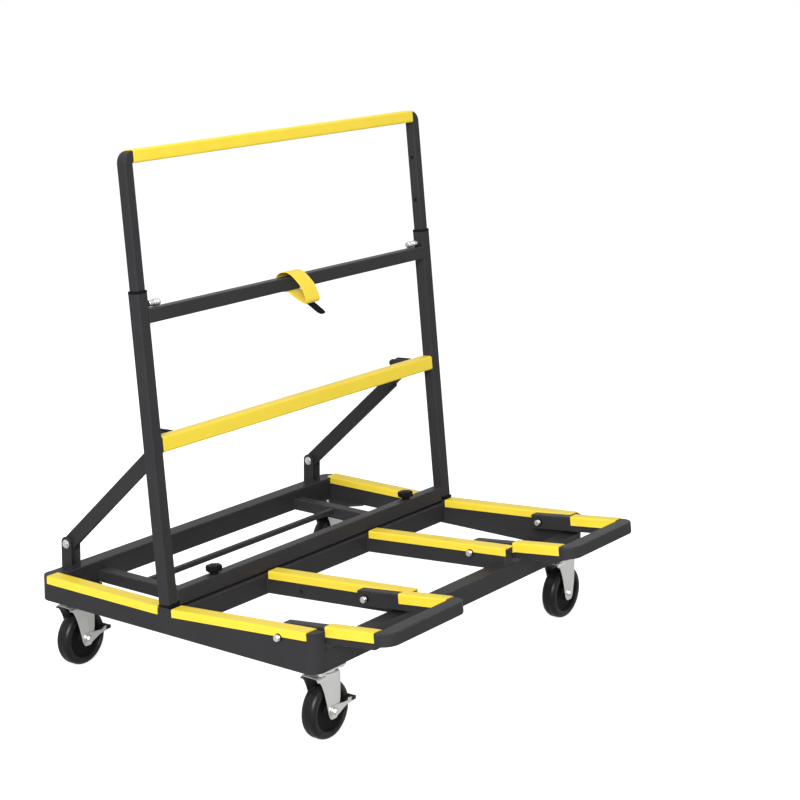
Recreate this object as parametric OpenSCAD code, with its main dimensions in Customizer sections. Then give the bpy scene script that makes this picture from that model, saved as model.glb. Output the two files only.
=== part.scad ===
// Drywall cart: rolling base frame, folding leaning upright, telescoping mast, two sliding front lips.
// Millimetres, +Z up, floor at z = 0, loading side toward -Y, width along X.

/* [Base] */
// overall width of the base across the rail caps
base_width = 1068; // [900:2:1200]
// distance from the upright's foot line to the rear face
base_back = 377; // [340:1:420]
// distance from the upright's foot line to the front face
base_front = 407; // [380:1:450]
// height of the underside of the rails, set by the casters
rail_bottom = 161; // [158:0.5:170]
// height of a rail
rail_height = 56; // [50:1:64]
// width of a rail without its cap
rail_width = 32; // [28:1:38]
// wall of the steel tubes
tube_wall = 2; // [1.5:0.1:2.6]
// upward slope of the front bay in degrees
deck_slope = 4.6; // [3.5:0.1:5.5]
// thickness of the yellow caps
cap_wall = 3; // [2.5:0.1:3.5]
// height of the cap sides
cap_side = 18; // [14:0.5:22]
// plan radius of the base corners
corner_radius = 28; // [20:1:32]
// height of an inner rail
inner_rail_height = 50; // [44:1:54]

/* [Upright] */
// backward lean of the upright in degrees
lean = 6.3; // [5:0.1:7]
// post width across the cart
post_width = 30; // [28:0.5:34]
// post depth
post_depth = 30; // [28:0.5:34]
// height of the middle of the mid crossbar along the post
mid_bar_height = 625; // [600:1:640]
// height of the middle of the padded crossbar along the post
low_bar_height = 349; // [345:0.5:360]
// size of the crossbar tubes
bar_size = 30; // [28:0.5:32]
// thickness of the yellow pads
pad_wall = 2; // [1.6:0.1:2.4]
// radius of a knob
knob_radius = 18; // [15:0.5:20]

/* [Mast] */
// height of the top of the mast along the post
mast_top = 976; // [950:1:1000]
// clearance of the mast tubes in the posts on each side
mast_fit = 0.5; // [0.3:0.05:0.8]
// pitch of the adjustment holes
hole_pitch = 105; // [90:1:110]

/* [Braces] */
// distance of a brace from the side of the base
brace_inset = 90; // [80:0.5:100]
// brace width
brace_width = 12; // [10:0.5:14]
// brace depth
brace_depth = 33; // [28:0.5:33]
// height of the brace foot pivot
foot_pivot_z = 274; // [272:0.5:280]
// distance of the foot pivot behind the foot line
foot_pivot_y = 360; // [358:0.5:362]

/* [Lips] */
// slope of the sliding lips in degrees
lip_slope = 6.6; // [6:0.1:7.2]
// travel of a lip
lip_travel = 150; // [120:1:160]
// arm width without its cap
arm_width = 25; // [22:0.5:25]
// arm height
arm_height = 35; // [30:0.5:36]
// depth of the front bar
lip_depth = 39; // [34:1:46]

/* [Casters] */
// wheel diameter
wheel_diameter = 127; // [120:1:130]
// tyre width
wheel_width = 36; // [32:1:38]
// offset of the wheel behind its swivel
caster_trail = 9; // [8:1:16]
// distance of the casters from the side of the base
caster_inset = 67; // [64:1:75]
// distance of the front casters before the foot line
caster_front = 376; // [366:1:376]
// distance of the rear casters behind the foot line
caster_back = 322; // [310:1:330]

/* [Hidden] */
$fn = 48;
eps = 0.01;
run_fit = 0.05;
half = base_width / 2;
deck_top = rail_bottom + rail_height + cap_wall;
rail_top = deck_top - cap_wall;
rail_out = half - cap_wall;
rail_in = rail_out - rail_width;
cap_in = rail_in - cap_wall;
deck_rise = tan(deck_slope);
seat_front = 19;
seat_back = 17;
seat_rail_bottom = rail_bottom + 5;
seat_rail_top = deck_top - 6;
front_cap_drop = cap_wall / cos(deck_slope);
inner_rail_x = half * 0.356;
front_rail_depth = 38;
front_rail_height = 47;
front_rail_top = rail_bottom + front_rail_height;
rear_rail_depth = 38;
rear_rail_bottom = rail_bottom + 4;
stringer_inset = 174;
stringer_x = half - stringer_inset;
stringer_width = 30;
stringer_height = 34;
stringer_top = rail_bottom + stringer_height;
tie_bar_inset = 161;
tie_bar_y = base_back - tie_bar_inset;
tie_bar_size = 12;
plate_wall = 6;
stop_hole = 4.6;
stop_hole_y = -116;
stop_hole_rise = 31;
plate_reach = 99;
front_plate_depth = 109;
rear_plate_depth = 117;
rear_plate_tip = 8;
front_plate_end = -base_front + front_rail_depth + front_plate_depth;
rear_plate_end = base_back - rear_rail_depth - rear_plate_depth;
// the upright stands on glides that ride just above the caps
post_x = half - 2 - post_width / 2;
post_foot = 6;
post_top = mid_bar_height + 55;
knob_x = half - 172;
post_in = post_x - post_width / 2;
glide_gap = 0.4;
bottom_rail_low = -2;
bottom_rail_high = 32;
low_bar_low = low_bar_height - bar_size / 2;
low_bar_front = -post_depth / 2 + pad_wall;
low_bar_back = low_bar_front + bar_size;
mast_width = post_width - 2 * tube_wall - 2 * mast_fit;
mast_depth = post_depth - 2 * tube_wall - 2 * mast_fit;
mast_foot = mid_bar_height - 195;
mast_bend = mast_width / 2 + 1.5;
mast_bar_mid = mast_top - pad_wall - mast_width / 2;
mast_side_end = mast_bar_mid - mast_bend;
mast_bar_end = post_x - mast_bend;
lock_height = mid_bar_height + 25;
lock_radius = 4;
lock_pull = 8;
strap_x = -15;
strap_width = 50;
tail_width = 25;
// brace geometry from its two pivots
brace_x = half - brace_inset;
lug_back = 42;
lug_height = low_bar_low - 1;
lug_y = lug_height * sin(lean) + lug_back * cos(lean);
lug_z = deck_top + lug_height * cos(lean) - lug_back * sin(lean);
brace_length = sqrt(pow(foot_pivot_y - lug_y, 2) + pow(lug_z - foot_pivot_z, 2));
brace_angle = atan2(lug_z - foot_pivot_z, foot_pivot_y - lug_y);
lug_pin = 5;
slot_turn = 44.5;
tongue_width = brace_width + 6;
foot_bolt = 6;
foot_wall = 3.5;
foot_half = brace_width / 2 + 6;
foot_bush = 11;
foot_depth = 30;
// lips
lip_y = -300;
lip_z = deck_top - lip_y * deck_rise + 1;
lip_cap = 2.5;
lip_gap = 0.6;
arm_out_x = cap_in - lip_gap - lip_cap - arm_width / 2;
inner_cap_out = inner_rail_x + rail_width / 2 + cap_wall;
arm_in_x = inner_cap_out + lip_gap + lip_cap + arm_width / 2;
arm_start = -8;
lip_cap_side = 22;
cap_start = 103;
bar_start = 226;
lip_bar_high = -2;
lip_bar_low = -30;
lip_bar_radius = lip_depth - tube_wall - 3;
lip_front_y = lip_y - (bar_start + lip_depth) * cos(lip_slope) + lip_bar_low * sin(lip_slope);
pin_back = 14;
pin_drop = 20;
pin_radius = 4;
pin_head = 7;
// the origin is under the middle of the outline
foot_y = (-lip_front_y - base_back) / 2;
// casters
caster_x = half - caster_inset;
plate_x = 45;
plate_y = 31;
bolt_x = plate_x - 11;
bolt_y = plate_y - 9;
wheel_radius = wheel_diameter / 2;
hub_half = wheel_width / 2 + 2;
leg_in = hub_half + 1;
leg_wall = 3;
leg_out = leg_in + leg_wall;
crown_low = wheel_diameter + 16;
plate_low = rail_bottom - 4;
race_low = plate_low - 6;
crown_top = race_low - 0.4;
axle_radius = 6;
king_radius = 6;
crown_back = 45;
crown_front = 31;
pedal_gap = 0.4;
pedal_wall = 2.5;
pedal_round = 14;
pedal_end = wheel_radius + 6.5;

steel = [0.22, 0.22, 0.23];
yellow = [0.97, 0.86, 0.15];
zinc = [0.78, 0.78, 0.80];
black = [0.05, 0.05, 0.05];

// frames
module place() {
    translate([0, foot_y, 0]) children();
}

module both() {
    children();
    mirror([1, 0, 0]) children();
}

module on_deck() {
    place() translate([0, 0, deck_top]) rotate([-deck_slope, 0, 0]) children();
}

module on_upright() {
    place() translate([0, 0, deck_top]) rotate([-lean, 0, 0]) children();
}

module on_lip() {
    place() translate([0, lip_y, lip_z]) rotate([-lip_slope, 0, 0]) children();
}

// box from corner to corner
module span(a, b) {
    translate(a) cube(b - a);
}

module along_x(x0, x1, r) {
    translate([x0, 0, 0]) rotate([0, 90, 0]) cylinder(h = x1 - x0, r = r);
}

module yz_plate(x0, x1, pts) {
    translate([x0, 0, 0]) rotate([90, 0, 90]) linear_extrude(height = x1 - x0) polygon(pts);
}

// upright block with round plan corners
module round_block(a, b, r) {
    span([a[0] + r, a[1], a[2]], [b[0] - r, b[1], b[2]]);
    span([a[0], a[1] + r, a[2]], [b[0], b[1] - r, b[2]]);
    for (x = [a[0] + r, b[0] - r], y = [a[1] + r, b[1] - r])
        translate([x, y, a[2]]) cylinder(h = b[2] - a[2], r = r);
}

function deck_z(y) = deck_top + (y < 0 ? -y * deck_rise : 0);

// base frame

module side_rail() {
    difference() {
        intersection() {
            yz_plate(-rail_out, -rail_in, [[base_back, rail_bottom], [base_back, rail_top],
                [seat_back, rail_top], [seat_back, deck_top], [-seat_front, deck_top],
                [-seat_front, deck_top - front_cap_drop + seat_front * deck_rise],
                [-base_front, deck_top - front_cap_drop + base_front * deck_rise], [-base_front, rail_bottom]]);
            round_block([-rail_out, -base_front, rail_bottom - 1], [rail_out, base_back, deck_top + 60], corner_radius);
        }
        yz_plate(-rail_out + tube_wall, -rail_in - tube_wall,
            [[base_back - corner_radius, rail_bottom + tube_wall], [base_back - corner_radius, rail_top - tube_wall],
            [0, rail_top - tube_wall],
            [-base_front + corner_radius, rail_top + (base_front - corner_radius) * deck_rise - tube_wall - 0.1],
            [-base_front + corner_radius, rail_bottom + tube_wall]]);
        translate([-(rail_out + rail_in) / 2, base_back / 2, rail_bottom - 1]) cylinder(h = tube_wall + 2, r = 4);
    }
}

module pin_axis_on_rail() {
    translate([0, lip_y - pin_back, deck_z(lip_y - pin_back) - pin_drop]) children();
}

module left_side_rail() {
    color(steel) place() difference() {
        side_rail();
        pin_axis_on_rail() along_x(-half, -cap_in, pin_radius + run_fit);
    }
}

module right_side_rail() {
    color(steel) place() mirror([1, 0, 0]) side_rail();
}

module rear_rail() {
    color(steel) place() difference() {
        span([-rail_in, base_back - rear_rail_depth, rear_rail_bottom], [rail_in, base_back, rail_top]);
        span([-rail_in - 1, base_back - rear_rail_depth + tube_wall, rear_rail_bottom + tube_wall],
            [rail_in + 1, base_back - tube_wall, rail_top - tube_wall]);
    }
}

module front_rail_body() {
    span([-rail_in, -base_front, rail_bottom], [rail_in, -base_front + front_rail_depth, front_rail_top]);
}

module front_rail() {
    color(steel) place() difference() {
        front_rail_body();
        span([-rail_in - 1, -base_front + tube_wall, rail_bottom + tube_wall],
            [rail_in + 1, -base_front + front_rail_depth - tube_wall, front_rail_top - tube_wall]);
    }
}

module seat_rail() {
    color(steel) place() difference() {
        span([-rail_in, -seat_front, seat_rail_bottom], [rail_in, seat_back, seat_rail_top]);
        span([-rail_in - 1, -seat_front + tube_wall, seat_rail_bottom + tube_wall],
            [rail_in + 1, seat_back - tube_wall, seat_rail_top - tube_wall]);
    }
}

module inner_rail(pin) {
    difference() {
        on_deck() span([inner_rail_x - rail_width / 2, -base_front - 2, -cap_wall - inner_rail_height],
            [inner_rail_x + rail_width / 2, seat_back, -cap_wall]);
        on_deck() span([inner_rail_x - rail_width / 2 + tube_wall, -base_front - front_rail_depth, -cap_wall - inner_rail_height + tube_wall],
            [inner_rail_x + rail_width / 2 - tube_wall, 2 * seat_back, -cap_wall - tube_wall]);
        place() span([0, -seat_front, 0], [half, base_back, 2 * deck_top]);
        place() span([0, -base_front, 0], [half, -base_front + front_rail_depth, front_rail_top]);
        place() span([0, -base_front - rail_height, 0], [half, -base_front, 2 * deck_top]);
        if (pin) place() pin_axis_on_rail() along_x(0, half, pin_radius + run_fit);
        if (!pin) place() translate([0, stop_hole_y, rail_bottom + stop_hole_rise]) along_x(inner_rail_x, half, stop_hole);
    }
}

module left_inner_rail() {
    color(steel) mirror([1, 0, 0]) inner_rail(false);
}

module right_inner_rail() {
    color(steel) inner_rail(true);
}

module rear_stringers() {
    color(steel) place() both() span([stringer_x - stringer_width / 2, seat_back, seat_rail_bottom],
        [stringer_x + stringer_width / 2, base_back - rear_rail_depth, stringer_top]);
}

module tie_bar() {
    color(steel) place() span([-stringer_x + stringer_width / 2, tie_bar_y - tie_bar_size / 2, stringer_top - tie_bar_size - 2],
        [stringer_x - stringer_width / 2, tie_bar_y + tie_bar_size / 2, stringer_top - 2]);
}

module corner_plates() {
    color(steel) place() both() {
        // the rear plates are cut on the slant
        translate([0, 0, rail_bottom]) linear_extrude(height = plate_wall) polygon([
            [stringer_x + stringer_width / 2, base_back - rear_rail_depth],
            [stringer_x + stringer_width / 2, base_back - rear_rail_depth - rear_plate_tip],
            [rail_in, rear_plate_end], [rail_in, base_back - rear_rail_depth]]);
        span([rail_in - plate_reach, -base_front + front_rail_depth, rail_bottom],
            [rail_in, front_plate_end, rail_bottom + plate_wall]);
    }
}

// yellow caps, open below
module cap_bar(x0, x1, y0, y1) {
    difference() {
        span([x0, y0, -cap_side], [x1, y1, 0]);
        span([x0 + cap_wall, y0 - 1, -cap_side - 1], [x1 - cap_wall, y1 + 1, -cap_wall]);
    }
}

module side_rail_caps() {
    color(yellow) {
        place() difference() {
            translate([0, 0, deck_top]) both() cap_bar(cap_in, half, seat_back + 1.5, base_back - corner_radius);
            span([-rail_in, base_back - rear_rail_depth, rail_bottom], [rail_in, base_back, rail_top]);
        }
        difference() {
            both() on_deck() cap_bar(cap_in, half, -base_front + corner_radius - 6, -seat_front - 2);
            place() pin_axis_on_rail() along_x(-half - 1, -cap_in + 1, pin_head + 2);
        }
    }
}

module inner_rail_caps() {
    color(yellow) difference() {
        both() on_deck() cap_bar(inner_rail_x - rail_width / 2 - cap_wall, inner_rail_x + rail_width / 2 + cap_wall,
            -base_front - 2, -seat_front - 4);
        place() pin_axis_on_rail() along_x(inner_rail_x - 30, inner_rail_x + 30, pin_head + 2);
    }
}

// brace feet
module brace_feet() {
    color(steel) place() both() difference() {
        union() {
            for (s = [-1, 1]) translate([brace_x + s * (foot_half + foot_wall / 2), 0, 0])
                span([-foot_wall / 2, foot_pivot_y - foot_depth / 2, rail_top], [foot_wall / 2, foot_pivot_y + foot_depth / 2, foot_pivot_z + 16]);
            span([brace_x - foot_half, foot_pivot_y - foot_depth / 2, rail_top], [brace_x + foot_half, foot_pivot_y + foot_depth / 2, rail_top + 4]);
        }
        translate([0, foot_pivot_y, foot_pivot_z]) along_x(brace_x - 2 * foot_half, brace_x + 2 * foot_half, foot_bolt + run_fit);
    }
}

module brace_foot_bolts() {
    color(zinc) place() both() translate([0, foot_pivot_y, foot_pivot_z]) {
        along_x(brace_x - foot_half - foot_wall - 5, brace_x + foot_half + foot_wall + 5, foot_bolt);
        for (x = [brace_x - foot_half - foot_wall - 5, brace_x + foot_half + foot_wall])
            translate([x, 0, 0]) rotate([0, 90, 0]) cylinder(h = 5, r = 9.5, $fn = 6);
    }
}

// casters
module at_caster(sx, sy) {
    place() translate([sx * caster_x, sy > 0 ? caster_back : -caster_front, 0]) children();
}

module caster_plates() {
    color(zinc) for (sx = [-1, 1], sy = [-1, 1]) at_caster(sx, sy) {
        difference() {
            span([-plate_x, -plate_y, plate_low], [plate_x, plate_y, rail_bottom]);
            for (x = [-bolt_x, bolt_x], y = [-bolt_y, bolt_y]) translate([x, y, plate_low - 1]) cylinder(h = 6, r = 4.2);
        }
        translate([0, 0, race_low]) cylinder(h = plate_low - race_low, r = 27);
        translate([0, 0, crown_low - 4.4]) cylinder(h = race_low - crown_low + 4.4, r = king_radius);
        translate([0, 0, crown_low - 4.4]) cylinder(h = 4, r = 11);
    }
}

module caster_bolts() {
    color(zinc) for (sx = [-1, 1], sy = [-1, 1], x = [-bolt_x, bolt_x], y = [-bolt_y, bolt_y])
        at_caster(sx, sy) translate([x, y, plate_low - 5]) {
            cylinder(h = 5, r = 7, $fn = 6);
            cylinder(h = 9, r = 4);
        }
}

module leg_outline() {
    polygon([[-crown_back, crown_top - 2], [-crown_back, crown_low], [-37, crown_low - 6], [caster_trail - 29, wheel_radius + 40],
        [caster_trail - 18, wheel_radius + 2], [caster_trail - 10, wheel_radius - 17], [caster_trail + 9, wheel_radius - 17],
        [caster_trail + 16, wheel_radius - 8], [crown_front, wheel_radius + 24], [crown_front, crown_low],
        [crown_front, crown_top - 2]]);
}

module fork() {
    difference() {
        union() {
            span([-crown_back, -leg_out, crown_low], [crown_front, leg_out, crown_top - 2]);
            translate([0, 0, crown_low]) cylinder(h = crown_top - crown_low, r = 27);
            for (y = [-leg_out, leg_in]) translate([0, y + leg_wall, 0]) rotate([90, 0, 0])
                linear_extrude(height = leg_wall) leg_outline();
        }
        translate([0, 0, crown_low - 1]) cylinder(h = 20, r = king_radius + run_fit);
        translate([caster_trail, 60, wheel_radius]) rotate([90, 0, 0]) cylinder(h = 120, r = axle_radius + run_fit);
    }
}

// the axle's heads stand off by the brake lever where there is one
module axle(grip) {
    reach = leg_out + grip;
    translate([caster_trail, 0, wheel_radius]) rotate([90, 0, 0]) {
        translate([0, 0, -reach - 6]) cylinder(h = 2 * reach + 12, r = axle_radius);
        for (z = [-reach - 6, reach]) translate([0, 0, z]) cylinder(h = 6, r = 9.5, $fn = 6);
    }
}

module wheel() {
    translate([caster_trail, 0, wheel_radius]) rotate([90, 0, 0]) rotate_extrude($fn = 72) polygon([
        [axle_radius + run_fit, -hub_half], [16, -hub_half], [16, -wheel_width / 2 + 6], [44, -wheel_width / 2 + 6],
        [48, -wheel_width / 2], [wheel_radius - 8, -wheel_width / 2], [wheel_radius - 3, -wheel_width / 2 + 3],
        [wheel_radius, -wheel_width / 2 + 9], [wheel_radius, wheel_width / 2 - 9], [wheel_radius - 3, wheel_width / 2 - 3],
        [wheel_radius - 8, wheel_width / 2], [48, wheel_width / 2], [44, wheel_width / 2 - 6], [16, wheel_width / 2 - 6],
        [16, hub_half], [axle_radius + run_fit, hub_half]]);
}

module brake_cheek() {
    circle(r = pedal_round);
    polygon([[0, pedal_round - 1], [pedal_end - 29, 10], [pedal_end - 14, 14.5], [pedal_end, 12.5], [pedal_end, 6],
        [pedal_end - 12, 4], [pedal_end - 34, 1], [7, 2 - pedal_round], [0, 0]]);
}

module brake() {
    translate([caster_trail, 0, wheel_radius]) difference() {
        union() {
            for (s = [-1, 1]) translate([0, s * (leg_out + pedal_gap + pedal_wall / 2) + pedal_wall / 2, 0]) rotate([90, 0, 0])
                linear_extrude(height = pedal_wall) brake_cheek();
            span([pedal_end - 5.5, -leg_out - pedal_gap - pedal_wall, 6], [pedal_end, leg_out + pedal_gap + pedal_wall, 12]);
        }
        translate([0, 60, 0]) rotate([90, 0, 0]) cylinder(h = 120, r = axle_radius + run_fit);
    }
}

module fl_fork() { color(zinc) at_caster(-1, -1) fork(); }
module fr_fork() { color(zinc) at_caster(1, -1) fork(); }
module rl_fork() { color(zinc) at_caster(-1, 1) fork(); }
module rr_fork() { color(zinc) at_caster(1, 1) fork(); }
module fl_axle() { color(zinc) at_caster(-1, -1) axle(pedal_wall + 2 * pedal_gap); }
module fr_axle() { color(zinc) at_caster(1, -1) axle(0); }
module rl_axle() { color(zinc) at_caster(-1, 1) axle(pedal_wall + 2 * pedal_gap); }
module rr_axle() { color(zinc) at_caster(1, 1) axle(0); }
module fl_wheel() { color(black) at_caster(-1, -1) wheel(); }
module fr_wheel() { color(black) at_caster(1, -1) wheel(); }
module rl_wheel() { color(black) at_caster(-1, 1) wheel(); }
module rr_wheel() { color(black) at_caster(1, 1) wheel(); }
module fl_brake() { color(zinc) at_caster(-1, -1) brake(); }
module rl_brake() { color(zinc) at_caster(-1, 1) brake(); }

// upright
module post_glides() {
    color(black) both() difference() {
        place() span([post_in, -seat_front + 1, deck_top + glide_gap], [post_x + post_width / 2, seat_back, deck_top + 12]);
        on_upright() span([post_in - 5, -60, post_foot - 0.3], [half + 5, 60, 40]);
    }
}

module post() {
    difference() {
        union() {
            span([-post_width / 2, -post_depth / 2, post_foot], [post_width / 2, post_depth / 2, post_top]);
            translate([post_width / 2 - eps, 0, lock_height]) along_x(0, 10 + eps, 9);
        }
        span([-post_width / 2 + tube_wall, -post_depth / 2 + tube_wall, post_foot - 1],
            [post_width / 2 - tube_wall, post_depth / 2 - tube_wall, post_top + 1]);
        translate([0, 0, lock_height]) along_x(0, post_width, lock_radius + run_fit);
    }
}

module left_post() { color(steel) on_upright() translate([-post_x, 0, 0]) post(); }
module right_post() { color(steel) on_upright() mirror([1, 0, 0]) translate([-post_x, 0, 0]) post(); }

module bottom_rail() {
    color(steel) on_upright() difference() {
        union() {
            span([-cap_in + 2, -post_depth / 2, bottom_rail_low], [cap_in - 2, post_depth / 2, bottom_rail_high]);
            span([-post_in, -post_depth / 2, post_foot + 2], [post_in, post_depth / 2, bottom_rail_high]);
        }
        span([-post_in - 1, -post_depth / 2 + tube_wall, post_foot + 2 + tube_wall],
            [post_in + 1, post_depth / 2 - tube_wall, bottom_rail_high - tube_wall]);
        span([-cap_in + 2 + tube_wall, -post_depth / 2 + tube_wall, bottom_rail_low + tube_wall],
            [cap_in - 2 - tube_wall, post_depth / 2 - tube_wall, bottom_rail_high - tube_wall]);
        both() translate([knob_x, 0, bottom_rail_low - 1]) cylinder(h = 60, r = 5 + run_fit);
    }
}

module knob() {
    translate([knob_x, 0, 0]) {
        translate([0, 0, bottom_rail_low]) cylinder(h = bottom_rail_high - bottom_rail_low + 3, r = 5);
        translate([0, 0, bottom_rail_high + 0.3]) cylinder(h = 5, r = 10);
        difference() {
            translate([0, 0, bottom_rail_high + 5]) cylinder(h = 15, r = knob_radius);
            for (a = [0:60:300]) rotate([0, 0, a]) translate([knob_radius + 3.5, 0, bottom_rail_high]) cylinder(h = 40, r = 6);
        }
    }
}

module right_knob() { color(black) on_upright() knob(); }
module left_knob() { color(black) on_upright() mirror([1, 0, 0]) knob(); }

module lower_crossbar() {
    color(steel) on_upright() difference() {
        span([-post_in, low_bar_front, low_bar_low], [post_in, low_bar_back, low_bar_low + bar_size]);
        span([-post_in - 1, low_bar_front + tube_wall, low_bar_low + tube_wall],
            [post_in + 1, low_bar_back - tube_wall, low_bar_low + bar_size - tube_wall]);
    }
}

module lower_pad() {
    color(yellow) on_upright() difference() {
        span([-post_in + 3, low_bar_front - pad_wall, low_bar_low - pad_wall],
            [post_in - 3, low_bar_back - 3, low_bar_low + bar_size + pad_wall]);
        span([-post_in, low_bar_front, low_bar_low], [post_in, low_bar_back, low_bar_low + bar_size]);
    }
}

module mid_crossbar() {
    color(steel) on_upright() difference() {
        span([-post_in, -bar_size / 2, mid_bar_height - bar_size / 2], [post_in, bar_size / 2, mid_bar_height + bar_size / 2]);
        span([-post_in - 1, -bar_size / 2 + tube_wall, mid_bar_height - bar_size / 2 + tube_wall],
            [post_in + 1, bar_size / 2 - tube_wall, mid_bar_height + bar_size / 2 - tube_wall]);
    }
}

module brace_lugs() {
    color(steel) on_upright() both() difference() {
        for (s = [-1, 1]) yz_plate(brace_x + s * (tongue_width / 2 + 2.5) - 2, brace_x + s * (tongue_width / 2 + 2.5) + 2,
            [[low_bar_back, low_bar_low], [low_bar_back, low_bar_low + bar_size + 2], [lug_back + 16, low_bar_low + bar_size + 4],
            [lug_back + 24, low_bar_low + bar_size], [lug_back + 26, low_bar_low + bar_size - 7], [lug_back + 18, lug_height + 13],
            [lug_back + 12, lug_height + 2], [lug_back + 8, lug_height - 9], [lug_back - 6, lug_height - 12]]);
        translate([0, lug_back, lug_height]) along_x(brace_x - 30, brace_x + 30, lug_pin + run_fit);
    }
}

module brace_pins() {
    color(zinc) on_upright() both() translate([0, lug_back, lug_height]) {
        along_x(brace_x - tongue_width / 2 - 8.5, brace_x + tongue_width / 2 + 8.5, lug_pin);
        for (x = [brace_x - tongue_width / 2 - 8.5, brace_x + tongue_width / 2 + 4.5]) along_head(x);
    }
}

module along_head(x) {
    translate([x, 0, 0]) rotate([0, 90, 0]) cylinder(h = 4, r = 8, $fn = 6);
}

module strap_loop() {
    b = bar_size / 2;
    x0 = strap_x - strap_width / 2;
    x1 = strap_x + strap_width / 2;
    color(yellow) on_upright() translate([0, 0, mid_bar_height]) {
        difference() {
            yz_plate(x0, x1, [[b + 3, -b - 3], [b + 3, b + 2], [b - 4, b + 9], [0, b + 13], [-b + 1, b + 13.5],
                [-b - 10, b + 9.5], [-b - 20, b + 2], [-b - 28, b - 6], [-b - 38, -b + 13], [-b - 45, -b], [-b - 50, -b - 14],
                [-b - 52, -b - 24], [-b - 45, -b - 31], [-b - 21, -b - 19], [-b, -b - 6]]);
            yz_plate(x0 - 1, x1 + 1, [[b, -b], [b, b], [b - 6, b + 6.5], [-1, b + 10], [-b + 1.5, b + 10.5],
                [-b - 8.5, b + 7], [-b - 17.8, b - 0.2], [-b - 25.6, b - 8.1], [-b - 35.5, -b + 11.2], [-b - 42.3, -b - 1.2],
                [-b - 47, -b - 14.8], [-b - 48.4, -b - 22.4], [-b - 44.8, -b - 27], [-b - 20, -b - 15.5], [-b, -b]]);
        }
        yz_plate(strap_x - tail_width / 2, strap_x + tail_width / 2, [[-b - 44, -b - 28], [-b - 78, -b - 55.5],
            [-b - 80, -b - 53], [-b - 47, -b - 26.5]]);
    }
}

// mast
module mast_tube() {
    difference() {
        span([-mast_width / 2, -mast_depth / 2, mast_foot], [mast_width / 2, mast_depth / 2, mast_side_end]);
        span([-mast_width / 2 + 1.5, -mast_depth / 2 + 1.5, mast_foot - 1], [mast_width / 2 - 1.5, mast_depth / 2 - 1.5, mast_side_end + 1]);
        for (i = [0, 1, 2]) translate([0, 0, lock_height + i * hole_pitch]) along_x(0, mast_width, lock_radius + 0.4);
    }
}

module left_mast_tube() { color(steel) on_upright() translate([-post_x, 0, 0]) mast_tube(); }
module right_mast_tube() { color(steel) on_upright() mirror([1, 0, 0]) translate([-post_x, 0, 0]) mast_tube(); }

module bend_ring(w, d) {
    rotate([90, 0, 0]) rotate_extrude(angle = 90) translate([mast_bend - w / 2, -d / 2]) square([w, d]);
}

module mast_top_bar() {
    color(steel) on_upright() difference() {
        union() {
            span([-mast_bar_end, -mast_depth / 2, mast_bar_mid - mast_width / 2], [mast_bar_end, mast_depth / 2, mast_bar_mid + mast_width / 2]);
            both() translate([mast_bar_end, 0, mast_side_end]) bend_ring(mast_width, mast_depth);
        }
        span([-mast_bar_end - 1, -mast_depth / 2 + 1.5, mast_bar_mid - mast_width / 2 + 1.5],
            [mast_bar_end + 1, mast_depth / 2 - 1.5, mast_bar_mid + mast_width / 2 - 1.5]);
        both() translate([mast_bar_end, 0, mast_side_end - eps]) bend_ring(mast_width - 3, mast_depth - 3);
    }
}

module mast_pad() {
    color(yellow) on_upright() difference() {
        span([-mast_bar_end + 1, -mast_depth / 2 - pad_wall, mast_bar_mid - mast_width / 2 - pad_wall],
            [mast_bar_end - 1, mast_depth / 2 + pad_wall, mast_bar_mid + mast_width / 2 + pad_wall]);
        span([-mast_bar_end, -mast_depth / 2, mast_bar_mid - mast_width / 2], [mast_bar_end, mast_depth / 2, mast_bar_mid + mast_width / 2]);
    }
}

module mast_pin() {
    translate([post_x - post_width / 2, 0, lock_height]) {
        along_x(-13, tube_wall, lock_radius);
        along_x(-47, -13, 8);
    }
}

module right_mast_pin() { color(zinc) on_upright() mast_pin(); }
module left_mast_pin() { color(zinc) on_upright() mirror([1, 0, 0]) mast_pin(); }

// braces, drawn along -Y from the foot pivot and then raised
module brace() {
    place() translate([brace_x, foot_pivot_y, foot_pivot_z]) rotate([-brace_angle, 0, 0]) difference() {
        union() {
            span([-brace_width / 2, -brace_length + 34, -brace_depth / 2], [brace_width / 2, 0, brace_depth / 2]);
            along_x(-brace_width / 2, brace_width / 2, brace_depth / 2);
            along_x(-foot_half + 0.5, foot_half - 0.5, foot_bush);
            span([-tongue_width / 2, -brace_length, -11], [tongue_width / 2, -brace_length + 60, 11]);
            translate([0, -brace_length, 0]) along_x(-tongue_width / 2, tongue_width / 2, 11);
        }
        along_x(-2 * foot_half, 2 * foot_half, foot_bolt + run_fit);
        span([-brace_width / 2 + tube_wall, -brace_length + 62, -brace_depth / 2 + tube_wall],
            [brace_width / 2 - tube_wall, -24, brace_depth / 2 - tube_wall]);
        translate([0, -60, -brace_depth / 2 - 1]) cylinder(h = tube_wall + 2, r = 3);
        translate([0, -brace_length, 0]) {
            along_x(-30, 30, lug_pin + 0.5);
            rotate([-slot_turn, 0, 0]) span([-30, -60, -lug_pin - 0.5], [30, 0, lug_pin + 0.5]);
        }
    }
}

module right_brace() { color(steel) brace(); }
module left_brace() { color(steel) mirror([1, 0, 0]) brace(); }

// lips
module arm(x) {
    difference() {
        span([x - arm_width / 2, -bar_start, -lip_cap - arm_height], [x + arm_width / 2, -arm_start, -lip_cap]);
        span([x - arm_width / 2 + tube_wall, -bar_start - 1, -lip_cap - arm_height + tube_wall],
            [x + arm_width / 2 - tube_wall, -arm_start + 1, -lip_cap - tube_wall]);
    }
}

module lip_arms() {
    arm(arm_in_x);
    arm(arm_out_x);
}

module lip_corner(x, y, r, low, high, back) {
    intersection() {
        translate([x, y, low]) cylinder(h = high - low, r = r);
        span([x - r, y - r, low], [x + r, back, high]);
    }
}

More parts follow.
